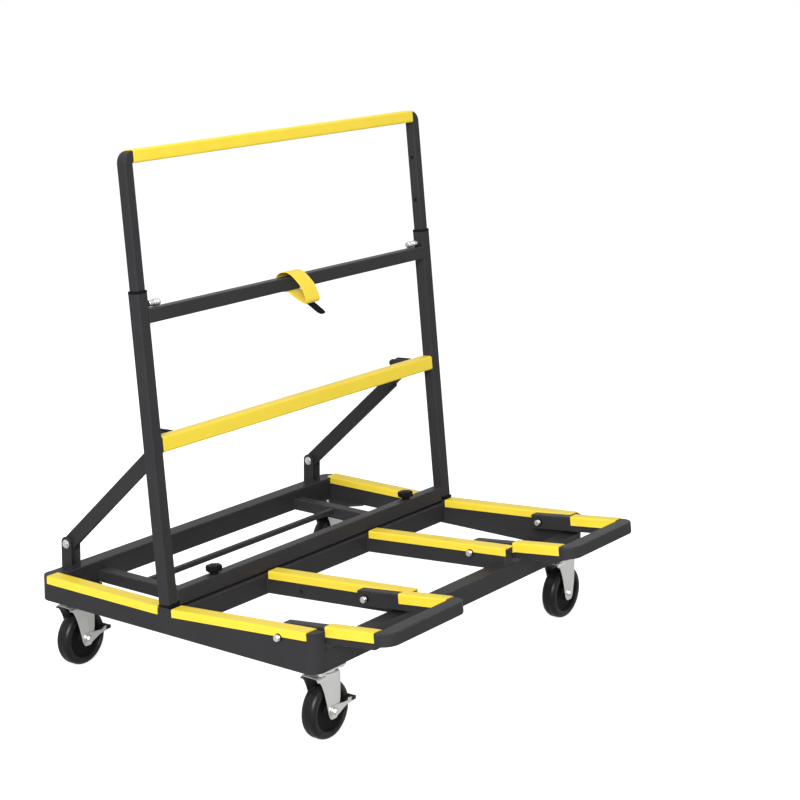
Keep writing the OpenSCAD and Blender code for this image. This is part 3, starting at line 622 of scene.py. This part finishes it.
def casterBoltsShape():
    c = casterTop
    across, along = c["bolt"]
    heads = joined([moved(hexHead(*c["boltHead"]), shift(x, y, c["low"]) @ tilt(180))
                    for x in (-across, across) for y in (-along, along)])
    end = joined([hexHead(*c["boltNut"]), lathe(c["boltTip"], 32)])
    ends = [moved(end, shift(caster["x"] - across, y, cornerPlate["high"]))
            for y in (caster["front"] + along, caster["rear"] - along)]
    whole = [moved(heads, shift(x, y, 0)) for name, x, y in spots.values()]
    return joined(whole + [bothSides(joined(ends))])


# the fork is one pressed strip, folded over the wheel, swept back at the top and narrowed to the axle:
# heights with the leg's two edges, then its section as a share across, a height and a rib or none
legEdge = [
    (46.5, 2, 16), (47.2, 0, 18), (49, -2, 20.6), (53, -4.6, 23.4), (58, -7, 25.4), (65, -9, 27),
    (76, -12, 29), (88, -15.6, 31), (100, -19.4, 31), (112, -23.6, 31), (122, -27.8, 31), (130, -32, 31),
    (137, -37, 31), (143, -45, 31)
]
legSection = [
    (0, 0.6, 0), (0.04, 1.5, 0), (0.34, 1.5, 0), (0.5, 1.5, 1), (0.64, 1.5, 1), (0.8, 1.5, 0),
    (0.96, 1.5, 0), (1, 0.6, 0), (1, -0.6, 0), (0.96, -1.5, 0), (0.5, -1.5, 0), (0.04, -1.5, 0),
    (0, -0.6, 0)
]
legRib = {"rise": 1.3, "low": 66, "run": 70}
crownMiddle = 6


def forkShape():
    c = caster
    mid = c["legIn"] + c["sheet"] / 2
    top = legEdge[-1][0]
    near = [(mid, z, 0, z) for z, left, right in legEdge[:-1]]
    turns = range(0, 91, 15)
    for face, (y, z) in zip(turns, arcPoints(c["bend"], turns)):
        near.append((mid - c["bend"] + y, c["crown"] - c["bend"] + z, face, top))
    near.append((crownMiddle, c["crown"], 90, top))
    far = [(-y, z, 180 - face, level) for y, z, face, level in near[::-1]]
    edges = {z: (left, right) for z, left, right in legEdge}
    rings = []
    for y, z, face, level in near + far:
        left, right = edges[level]
        out = Vector((0, cos(radians(face)), sin(radians(face))))
        rise = legRib["rise"] * sin(pi * min(max((level - legRib["low"]) / legRib["run"], 0), 1))
        rings.append([Vector((left + (right - left) * share, y, z)) + out * (height + ribbed * rise)
                      for share, height, ribbed in legSection])
    return skin(rings)


crownCup = [(6.1, 143), (24, 143), (26.4, 144.4), (27, 147), (26.6, 149.6), (25, 150.5), (6.1, 150.5)]


def axleShape(grip):
    reach = caster["legIn"] + caster["sheet"] + grip
    ends = [moved(hexHead(*caster["nut"]), atHub @ shift(0, s * reach, 0) @ tilt(-90 * s)) for s in (1, -1)]
    return joined(ends + [moved(rodX(-reach - 2, reach + 2, caster["axle"]), atHub @ tilt(90, "Z"))])


# wheel: cast tyre with a shallow groove, moulded core with a raised rim and a recessed face
wheelSize = {"radius": caster["wheel"], "half": 18, "groove": 0.9, "seat": 46}


def tyreShape():
    r, w, g, seat = (wheelSize[key] for key in ("radius", "half", "groove", "seat"))
    half = [(r - g, 0), (r - g, 0.9), (r, 1.7), (r, w - 10.6), (r - 0.5, w - 8), (r - 1.8, w - 5.2),
            (r - 3.8, w - 2.6), (r - 6.4, w - 0.7), (r - 8.6, w), (49.4, w), (48.6, w - 0.4),
            (48.2, w - 1.2), (47.4, w - 2)]
    profile = [(a, -b) for a, b in half[:0:-1]] + half + [(seat, w - 2), (seat, 2 - w)]
    return moved(lathe(profile, 72, True), tilt(90))


def coreShape():
    w = wheelSize["half"]
    half = [(46.3, w - 1.4), (45.2, w - 1.1), (43.6, w - 1.6), (42.6, w - 3.4), (41.2, w - 5.4),
            (38.5, w - 6.2), (24, w - 6.4), (20.6, w - 5.8), (18.2, w - 3.6), (16.8, w + 0.6),
            (15.6, w + 1.8), (14, w + 2), (9, w + 2), (8.4, w + 1.4), (6.1, w + 1.2)]
    return moved(lathe(half + [(a, -b) for a, b in half[::-1]], 72, True), tilt(90))


# brake lever: two pressed teardrop cheeks on the axle and a tab over the tyre, with a dark rubber toe
lever = {"round": 14, "in": 24.4, "out": 26.9, "end": 70, "wall": 2.5, "edge": 0.6, "tab": (5.5, 6, 12),
         "skin": 0.6, "toeWall": 3.7, "toeTab": (5.2, 5.5, 12.7), "grip": (24, 12.5, 13.3),
         "gripBack": (4.4, 2), "gripWide": 1.2}


# two cheeks and the tab between them, grown by a skin for the toe
def cheekPair(outline, rubber, wall, tab, edge):
    e, out = lever["end"], lever["out"]
    back, low, high = tab
    cheeks = [plate(outline, "y", y - rubber, y - rubber + wall, lever["edge"])
              for y in (-out, lever["in"])]
    return cheeks + [bar((e - back, -out, low), (e + rubber, out, high), edge, 2)]


def brakeShape():
    e = lever["end"]
    toe = [(e - 34, 1), (e - 12, 4), (e, 6), (e, 12.5), (e - 14, 14.5), (e - 29, 10)]
    cheek = arcPoints(lever["round"], range(92, 301, 13)) + fillet(toe, {1: 8, 2: 1.5, 3: 1.5, 4: 6}, 4)
    return joined(cheekPair(cheek, 0, lever["wall"], lever["tab"], 1.0))


def toeShape():
    e, rubber = lever["end"], lever["skin"]
    cover = [(e - 15, 6.2), (e - 9, 5.2), (e + rubber, 5.4), (e + rubber, 13.2), (e - 9, 16.6),
             (e - 13, 17)]
    parts = cheekPair(fillet(cover, 1.6, 4), rubber, lever["toeWall"], lever["toeTab"], 0.9)
    half, low, high = lever["grip"]
    for back in lever["gripBack"]:
        parts.append(bar((e - back, -half, low), (e - back + lever["gripWide"], half, high), 0.25, 1))
    return joined(parts)


casterPlates = joined([moved(casterPlateShape(), shift(x, y, 0)) for name, x, y in spots.values()])
makePiece("casterPlates", casterPlates, *onBase, zincPlate, "caster_plates")
makePiece("casterBolts", casterBoltsShape(), *onBase, zincPlate, "caster_bolts")
fork, tyre, core = joined([forkShape(), lathe(crownCup, 56, True)]), tyreShape(), coreShape()
brake, toe = brakeShape(), toeShape()
for key, (side, x, y) in spots.items():
    place = baseFrame @ shift(x, y, 0)
    hub = place @ atHub
    braked = key in ("fl", "rl")
    axle = axleShape(caster["grip"] if braked else 0)
    makePiece(key + "Fork", fork, place, side + "_fork", zincPlate, key + "_fork")
    makePiece(key + "Axle", axle, place, side + "_fork", zincPlate, key + "_axle")
    makePiece(key + "Tyre", tyre, hub, side + "_wheel", tyreRubber, key + "_wheel")
    makePiece(key + "Core", core, hub, side + "_wheel", blackNylon)
    if braked:
        makePiece(key + "Brake", brake, hub, side + "_brake", zincPlate, key + "_brake")
        makePiece(key + "BrakeToe", toe, hub, side + "_brake", tyreRubber)
print("casters built")

# upright: posts of square tube with a welded boss for the lock pin
upright = {
    "postX": 517, "post": 30, "wall": 2, "corner": 3.2, "foot": 6, "top": 680, "bar": 30, "barEdge": 2.6,
    "bars": {"lower": (349, 2), "mid": (625, 0)}, "lock": 650,
    "boss": ((4.2, 0), (9, 0), (9, 8.6), (8.4, 9.6), (7.6, 10), (4.2, 10)), "bossIn": 0.2,
    "bossWeld": (9.2, 1.3)
}
postIn = upright["postX"] - upright["post"] / 2


def squareRing(size, corner, z):
    h = size / 2
    return [Vector((p.x, p.y, z)) for p in fillet(rectangle(-h, -h, h, h), corner, 4)]


# the tube is open at both ends, with its rims eased; rings are width, corner and height
def postShape():
    u = upright
    size, corner, low, high = u["post"], u["corner"], u["foot"], u["top"]
    bore = size - 2 * u["wall"]
    rings = [(size, corner, low + 0.5), (size, corner, high - 0.5), (size - 0.8, corner - 0.4, high),
             (bore, corner - 1.4, high), (bore, corner - 1.4, low), (size - 0.8, corner - 0.4, low)]
    tube = skin([squareRing(*ring) for ring in rings], True)
    boss = moved(lathe(u["boss"], 40, True), shift(size / 2 - u["bossIn"], 0, u["lock"]) @ tilt(90, "Y"))
    weld = moved(weldRing(*u["bossWeld"]), shift(size / 2, 0, u["lock"]) @ tilt(90, "Y"))
    return joined([tube, boss, weld])


# thin moulded bush at the post's top that keeps the mast centred
collarRings = [
    (30.1, 3.2, 675.5), (30.7, 3.4, 676), (30.7, 3.4, 680.6), (29.3, 3.2, 681.6), (25.8, 2.6, 681.6),
    (25.8, 2.6, 679), (28, 2.6, 679)
]
atLeftPost = shift(-upright["postX"], 0, 0)
makeSides("Post", moved(postShape(), mirrorX @ atLeftPost), *onUpright, powderCoat, "{}_post")
collar = skin([squareRing(*ring) for ring in collarRings], True)
makePiece("postCollars", bothSides(moved(collar, atLeftPost)), *onUpright, blackNylon)

# bottom rail, notched under the posts
footRail = {"half": 494, "low": -2, "notch": 8, "high": 32, "depth": 15, "edge": 2.4}


def footRailShape():
    f = footRail
    right = [(f["half"], f["low"]), (f["half"], f["notch"]), (postIn, f["notch"]), (postIn, f["high"])]
    outline = [(-f["half"], f["low"])] + right + [(-x, z) for x, z in right[:0:-1]]
    return plate(outline, "y", -f["depth"], f["depth"], f["edge"], 3)


makePiece("footRail", footRailShape(), *onUpright, powderCoat, "bottom_rail")
half = upright["bar"] / 2
for name, (height, back) in upright["bars"].items():
    low = (-postIn, back - half, height - half)
    crossbar = bar(low, (postIn, back + half, height + half), upright["barEdge"])
    makePiece(name + "Crossbar", crossbar, *onUpright, powderCoat, name + "_crossbar")

# glides under the posts
glide = {"outline": [(-18, 220.4), (17, 220.4), (17, 223.8), (-18, 227.6)], "x": (502, 532), "edge": 0.6}
glides = bothSides(plate(glide["outline"], "x", *glide["x"], glide["edge"]))
makePiece("postGlides", glides, baseFrame, "glides", blackNylon, "post_glides")

# yellow rest on the lower crossbar, open behind
rest = {"half": 499, "front": -15, "back": 14, "low": 332, "high": 366, "wall": 2, "round": 5, "edge": 0.5}


def restShape():
    r = rest
    front, top, low = r["front"] + r["wall"], r["high"] - r["wall"], r["low"] + r["wall"]
    outline = [(r["back"], r["low"]), (r["front"], r["low"]), (r["front"], r["high"]),
               (r["back"], r["high"]), (r["back"], top), (front, top), (front, low), (r["back"], low)]
    return plate(fillet(outline, {1: r["round"], 2: r["round"]}), "x", -r["half"], r["half"], r["edge"])


makePiece("lowerRest", restShape(), *onUpright, yellowCover, "lower_pad")

# brackets behind the lower crossbar that take the braces, with their pins
lug = {"x": 444, "gap": 11.5, "half": 2, "back": 42, "height": 333, "bar": 17, "edge": 0.7,
       "rounds": {2: 8, 3: 6, 4: 6, 5: 8, 6: 6, 7: 8, 8: 8}, "weld": (17.2, 17.2, 336, 362, 1.5),
       "pin": (426.5, 461.5, 6.3, 5, 4)}


def lugShape():
    back, high = lug["back"], lug["height"]
    outline = [(lug["bar"], 334), (lug["bar"], 366), (back + 16, 368), (back + 24, 364), (back + 26, 357),
               (back + 18, high + 13), (back + 12, high + 2), (back + 8, high - 9), (back - 6, high - 12)]
    outline = fillet(outline, lug["rounds"])
    lines = span(lug["x"], lug["gap"])
    plates = [plate(outline, "x", *span(x, lug["half"]), lug["edge"]) for x in lines]
    welds = weldRows([(span(lug["x"], lug["gap"] + lug["half"]), *lug["weld"])], (1,))
    return joined(plates + [welds])


makePiece("braceLugs", bothSides(lugShape()), *onUpright, powderCoat, "brace_lugs")
lugPin = moved(throughBolt(*lug["pin"]), shift(0, lug["back"], lug["height"]))
makePiece("bracePins", bothSides(lugPin), *onUpright, zincPlate, "brace_pins")

# welds of the crossbars and the bottom rail to the posts
uprightWeld = [
    (15, -10, 334, 334, 1.7), (15, -10, 364, 364, 1.7), (13, -13, 610, 610, 1.9), (13, -13, 640, 640, 1.9),
    (13, -13, 32, 32, 1.9)
]
uprightWelds = weldRows([((postIn,), *row) for row in uprightWeld])
makePiece("uprightWelds", uprightWelds, *onUpright, powderCoat)

# clamping knobs: six soft lobes, a domed top and a collar on a stud; rings are shares of the radius
knob = {"x": 362, "radius": 17.2, "lobe": 1.4, "lobes": 6, "steps": 72,
        "rings": ((0.6, 37), (0.9, 37.5), (1, 39), (1, 48), (0.97, 50.2), (0.88, 51.5), (0.6, 52),
                  (0.3, 52), (0.24, 51.2), (0.02, 51.2)),
        "stem": ((0, 32.3), (9.4, 32.3), (10, 33), (9.2, 35), (8.6, 37.4), (0, 37.4)),
        "stud": ((0, -2), (4.4, -2), (5, -1.2), (5, 33), (0, 33))}


def knobShape():
    rim = []
    for i in range(knob["steps"]):
        t = 2 * pi * i / knob["steps"]
        radius = knob["radius"] + knob["lobe"] * cos(knob["lobes"] * t)
        rim.append((radius, cos(t), sin(t)))
    rings = [[Vector((r * share * c, r * share * s, z)) for r, c, s in rim] for share, z in knob["rings"]]
    return joined([skin(rings), lathe(knob["stem"], 40)])


atKnob = shift(knob["x"], 0, 0)
onKnob = (uprightFrame, "knob_{}")
makeSides("Knob", moved(knobShape(), atKnob), *onKnob, blackNylon, "{}_knob")
makeSides("KnobStud", moved(lathe(knob["stud"], 32), atKnob), *onKnob, zincPlate)
print("upright built")

# webbing loop over the mid crossbar: one closed band that droops to the front, sewn to a dark tail
strap = {"x": -15, "width": 50, "thick": 2.2, "tail": 25, "tailThick": 2.6}
strapPath = [
    (16.4, -16.4), (17, 0), (16.6, 14), (11, 21.8), (0, 26.4), (-13, 27), (-24, 23.2), (-34, 15.8),
    (-42, 7.8), (-51.8, -3), (-58.8, -16), (-63.6, -29.4), (-65.4, -37.6), (-64, -42), (-59, -43.6),
    (-36, -32.4), (-16, -18.6), (0, -16.6)
]
tailPath = [(-46, -41), (-56, -45.4), (-64, -50), (-74, -57.4), (-81, -62.4), (-86, -65.8), (-89, -67.7),
            (-91, -68.9), (-92, -69.4)]
tailEnds = [1, 1, 1, 1, 1, 0.95, 0.84, 0.66, 0.4]
stitch = {"count": 9, "start": -10, "pitch": 2.5, "long": 1.4, "size": 0.5,
          "rows": (((-50, -40.9), (-51.4, -41.5)), ((-61, -46.2), (-62.4, -47)))}
# the band's section: a share of the width and of the thickness
bandSection = [
    (-0.5, 0.2), (-0.47, 0.5), (-0.3, 0.42), (0, 0.5), (0.3, 0.42), (0.47, 0.5), (0.5, 0.2), (0.5, -0.2),
    (0.47, -0.5), (0, -0.5), (-0.47, -0.5), (-0.5, -0.2)
]


# a smooth closed curve through the points
def smoothLoop(points, steps=6):
    out = []
    count = len(points)
    for i in range(count):
        p0, p1, p2, p3 = (Vector(points[(i + k) % count]) for k in (-1, 0, 1, 2))
        for k in range(steps):
            t = k / steps
            out.append(0.5 * ((2 * p1) + (p2 - p0) * t + (2 * p0 - 5 * p1 + 4 * p2 - p3) * t * t
                              + (3 * p1 - p0 - 3 * p2 + p3) * t ** 3))
    return out


def bandShape(path, width, thick, loop, ends=None):
    rings = []
    count = len(path)
    for i, p in enumerate(path):
        ahead = path[(i + 1) % count] if loop or i < count - 1 else p
        behind = path[i - 1] if loop or i > 0 else p
        d = (ahead - behind).normalized()
        n = Vector((d.y, -d.x))
        wide = width * (ends[i] if ends else 1)
        ring = []
        for f, t in bandSection:
            q = p + n * t * thick
            ring.append(Vector((strap["x"] + f * wide, q.x, q.y)))
        rings.append(ring)
    return skin(rings, loop)


strapFrame = uprightFrame @ shift(0, 0, upright["bars"]["mid"][0])
loopBand = bandShape(smoothLoop(strapPath), strap["width"], strap["thick"], True)
makePiece("strapLoop", loopBand, strapFrame, "upright", yellowWebbing, "strap_loop")
tailBand = bandShape([Vector(p) for p in tailPath], strap["tail"], strap["tailThick"], False, tailEnds)
makePiece("strapTail", tailBand, strapFrame, "upright", blackWebbing)
stitches = []
for k in range(stitch["count"]):
    x = strap["x"] + stitch["start"] + stitch["pitch"] * k
    end = x + stitch["long"]
    stitches += [weldRun((x, *a), (end, *b), stitch["size"]) for a, b in stitch["rows"]]
makePiece("strapStitches", joined(stitches), strapFrame, "upright", blackWebbing)

# mast: one square tube bent over the top, drilled for the lock pins
mast = {
    "x": upright["postX"], "size": 25, "corner": 3.4, "foot": 430, "top": 961.5, "bend": 14, "straight": 60,
    "topStation": 300, "bendSteps": 12, "holes": (650, 755, 860), "hole": 5.0, "drill": (4, 14)
}


def mastShape():
    m = mast
    reach, side = m["x"] - m["bend"], m["top"] - m["bend"]
    turns = [90 * k / m["bendSteps"] for k in range(m["bendSteps"] + 1)]
    half = [(-m["x"], z, 0) for z in (m["foot"], m["foot"] + m["straight"], side - m["straight"])]
    half += [(-reach - x, side + z, turn) for turn, (x, z) in zip(turns, arcPoints(m["bend"], turns))]
    half.append((-m["topStation"], m["top"], 90))
    stations = half + [(0, m["top"], 90)] + [(-x, z, 180 - turn) for x, z, turn in half[::-1]]
    rings = []
    for x, z, turn in stations:
        place = shift(x, 0, z) @ tilt(turn, "Y")
        rings.append([place @ p for p in squareRing(m["size"], m["corner"], 0)])
    tube = skin(rings)
    near, far = m["drill"]
    drill = bothSides(rodX(m["x"] - far, m["x"] - near, m["hole"], cutterEdge, 28))
    for h in m["holes"]:
        tube = carved(tube, moved(drill, shift(0, 0, h)))
    return tube


mastNodes = ["left_mast_tube", "right_mast_tube", "mast_top_bar"]
makePiece("mastTube", mastShape(), uprightFrame, "mast", powderCoat, *mastNodes)
mastRest = {"half": 502, "section": (-14.5, 947, 14.5, 976), "round": 5, "edge": 0.6}
sleeve = fillet(rectangle(*mastRest["section"]), mastRest["round"])
restSleeve = plate(sleeve, "x", -mastRest["half"], mastRest["half"], mastRest["edge"])
makePiece("mastRest", restSleeve, uprightFrame, "mast", yellowCover, "mast_pad")

# sprung lock pins: a barrel and a ringed pull, drawn along Z from the face they stand on
lockPin = [
    (0, -2), (3.6, -2), (4, -1.5), (4, 13), (6.6, 13), (7.2, 13.6), (7.2, 24), (6.6, 24.6), (5.4, 25),
    (5.4, 27), (7.2, 27.4), (8, 28.2), (8, 33), (7.5, 33.5), (7.5, 34.5), (8, 35), (8, 38), (7.5, 38.5),
    (7.5, 39.5), (8, 40), (8, 44.6), (7.4, 46), (6, 46.8), (0, 47)
]
pinSide = moved(lathe(lockPin, 40), shift(postIn, 0, upright["lock"]) @ tilt(-90, "Y"))
makeSides("LockPin", pinSide, uprightFrame, "mast_pin_{}", zincPlate, "{}_mast_pin")
print("mast built")

# braces: flat tube with a bush at the foot and a slotted tongue at the head
brace = {"x": braceFoot["x"], "half": 6, "deep": 16.5, "tongue": 9, "reach": 11, "bush": 11,
         "bushHalf": 11.5, "slot": 5.5, "slotTurn": 44.5, "slotRun": 60, "tubeEnd": 34, "tubeRound": 6,
         "tongueEnd": 58, "cut": (400, 490)}
lean = radians(cart["lean"])
lugY = lug["height"] * sin(lean) + lug["back"] * cos(lean)
lugZ = cart["deck"] + lug["height"] * cos(lean) - lug["back"] * sin(lean)
braceLength = hypot(braceFoot["y"] - lugY, lugZ - braceFoot["z"])
braceAngle = degrees(atan2(lugZ - braceFoot["z"], braceFoot["y"] - lugY))
braceFrame = baseFrame @ atFoot @ tilt(-braceAngle)


def braceShape():
    b = brace
    d = b["deep"]
    end = b["tubeEnd"] - braceLength
    body = arcPoints(d, range(-90, 91, 12)) + [(end, d), (end, -d)]
    top = len(body)
    body = fillet(body, {top - 2: b["tubeRound"], top - 1: b["tubeRound"]}, 4)
    tube = plate(body, "x", *span(b["x"], b["half"]), 1.6, 3)
    nose = [(-braceLength - y, z) for y, z in arcPoints(b["reach"], range(-90, 91, 15))]
    end = b["tongueEnd"] - braceLength
    nose += [(end, b["reach"]), (end, -b["reach"])]
    tongue = plate(nose, "x", *span(b["x"], b["tongue"]), 1.2)
    x0, x1 = b["cut"]
    run = bar((x0, -b["slotRun"], -b["slot"]), (x1, 0, b["slot"]), cutterEdge, 1)
    for cutter in (rodX(x0, x1, b["slot"]), moved(run, tilt(-b["slotTurn"]))):
        tongue = carved(tongue, moved(cutter, shift(0, -braceLength, 0)))
    return joined([tube, tongue, rodX(*span(b["x"], b["bushHalf"]), b["bush"], 0.8)])


makeSides("Brace", braceShape(), braceFrame, "brace_{}", powderCoat, "{}_brace")

# lips: two arms, a front bar with round corners, yellow covers and plugs in the open tube ends
lip = {"in": 224.7, "out": 480.4, "arm": 12.5, "cover": 2.5, "start": 8, "bar": -226, "front": -265,
       "round": 34, "barHigh": -2, "barLow": -30, "barEdge": 3.4, "armLow": -37.5, "armHigh": -2.5,
       "armEdge": 2.4, "weld": (-226.2, -226.2, -28, -6, 1.6), "plug": 10.5, "plugBack": 2, "plugOut": 1.4,
       "plugIn": 2, "coverStart": -103, "coverSide": 22}
armLines = (lip["in"], lip["out"])


def armBars(half, y0, y1, inset, edge, steps):
    low, high = lip["armLow"] + inset, lip["armHigh"] - inset
    return joined([bar((x - half, y0, low), (x + half, y1, high), edge, steps) for x in armLines])


lipWide = lip["arm"] + lip["cover"]
left, right = lip["in"] - lipWide, lip["out"] + lipWide
barLine = [(left, lip["bar"]), (left, lip["front"]), (right, lip["front"]), (right, lip["bar"])]
barLine = fillet(barLine, {1: lip["round"], 2: lip["round"]}, 10)
lipBar = plate(barLine, "z", lip["barLow"], lip["barHigh"], lip["barEdge"], 4)
coverEnds = (lip["bar"], lip["coverStart"], lip["coverSide"], lip["cover"])
lipCovers = joined([coverShape(*span(x, lipWide), *coverEnds) for x in armLines])
lipArms = armBars(lip["arm"], lip["bar"], lip["start"], 0, lip["armEdge"], 3)
lipPlugs = armBars(lip["plug"], lip["start"] - lip["plugBack"], lip["start"] + lip["plugOut"],
                   lip["plugIn"], 1.2, 2)
lipWelds = weldRows([(span(x, lip["arm"]), *lip["weld"]) for x in armLines], (1,))
onLip = (lipFrame, "lip_{}")
makeSides("LipArms", joined([lipArms, lipWelds]), *onLip, powderCoat, "{}_lip_arms")
makeSides("LipBar", lipBar, *onLip, powderCoat, "{}_lip_bar")
makeSides("LipCovers", lipCovers, *onLip, yellowCover, "{}_lip_caps")
makeSides("LipPlugs", lipPlugs, *onLip, blackNylon)

# pull pins with grooved heads toward -X, each in a dark bush
pullPin = {"shaft": 4, "tip": 0.6, "rail": 31.9, "lip": 24.9, "armY": -14, "armZ": -20,
           "head": ((4, 4), (6.3, 4), (7, 4.7), (7, 6.6), (6.4, 7.1), (6.4, 8.1), (7, 8.6), (7, 11.2),
                    (5.8, 12.5), (0, 12.5)),
           "bush": ((4.2, 0), (8.4, 0), (8.4, 1.2), (7.4, 2.2), (4.2, 2.2))}


def pullPinShape(depth):
    shaft, tip = pullPin["shaft"], pullPin["tip"]
    profile = [(0, -depth), (shaft - tip, -depth), (shaft, -depth + tip), *pullPin["head"]]
    return moved(lathe(profile, 40), tilt(-90, "Y"))


def atArm(x):
    return lipFrame @ shift(x - lip["arm"], pullPin["armY"], pullPin["armZ"])


pullPins = [
    ("left", "rail", "base", pinLine @ shift(-sideRail["out"], 0, 0)),
    ("inner", "rail", "base", pinLine @ shift(innerRail["x"] - innerRail["width"] / 2, 0, 0)),
    ("left", "lip", "lip_left", atArm(-lip["in"])), ("right", "lip", "lip_right", atArm(lip["out"]))
]
pinBush = moved(lathe(pullPin["bush"], 40, True), tilt(-90, "Y"))
for side, kind, carrier, place in pullPins:
    name = side + kind.title() + "Pin"
    node = side + "_" + kind + "_pin"
    makePiece(name, pullPinShape(pullPin[kind]), place, kind + "_pin_" + side, zincPlate, node)
    makePiece(name + "Bush", pinBush, place, carrier, blackNylon)
print("lips and pins built")

# studio in metres: pale floor, white surroundings, a large soft key from the front left, a weak top lamp
studio = {"world": 0.27, "lift": 0.72, "floor": 30, "mottle": 3.0, "pale": (0.88, 0.9)}
floorMesh = bpy.data.meshes.new("studioFloor")
far = studio["floor"]
floorMesh.from_pydata([(x, y, 0) for x, y in rectangle(-far, -far, far, far)], [], [(0, 1, 2, 3)])
floor = addObject("studioFloor", floorMesh)
floorPaint, tree, shader, at = newFinish("paleStudioFloor")
mottle = addNode(tree, "TexNoise", {"Vector": at, "Scale": studio["mottle"], "Detail": 2.0}).outputs["Fac"]
pale = addRange(tree, mottle, {"To Min": studio["pale"][0], "To Max": studio["pale"][1]})
path = addNode(tree, "LightPath", {})
lift = addMath(tree, "MULTIPLY", path.outputs["Is Camera Ray"], studio["lift"])
setInputs(tree, shader, {"Base Color": pale, "Roughness": 0.9, "Specular IOR Level": 0.1,
                         "Emission Color": (1, 1, 1, 1), "Emission Strength": lift})
floorMesh.materials.append(floorPaint)

world = bpy.data.worlds.new("studioWorld")
scene.world = world
world.use_nodes = True
tree = world.node_tree
path = addNode(tree, "LightPath", {})
seen = addMath(tree, "MAXIMUM", path.outputs["Is Camera Ray"], path.outputs["Is Glossy Ray"])
clear = addMath(tree, "MAXIMUM", seen, path.outputs["Is Transmission Ray"])
power = addRange(tree, clear, {"To Min": studio["world"], "To Max": 1.0})
setInputs(tree, tree.nodes["Background"], {"Strength": power, "Color": (1, 1, 1, 1)})

lamps = {"keyLamp": {"spot": (-8.7, -4.8, 5.5), "aim": (-0.1, 0, 0.7), "size": 4.8, "watts": 1120},
         "topLamp": {"spot": (-0.5, 0, 3.2), "aim": (0, 0, 0), "size": 2.0, "watts": 28}}
for name, lamp in lamps.items():
    light = addObject(name, bpy.data.lights.new(name, "AREA"))
    light.data.shape = "RECTANGLE"
    light.data.size = lamp["size"]
    light.data.size_y = lamp["size"]
    light.data.energy = lamp["watts"]
    aimAt(light, lamp["spot"], lamp["aim"])
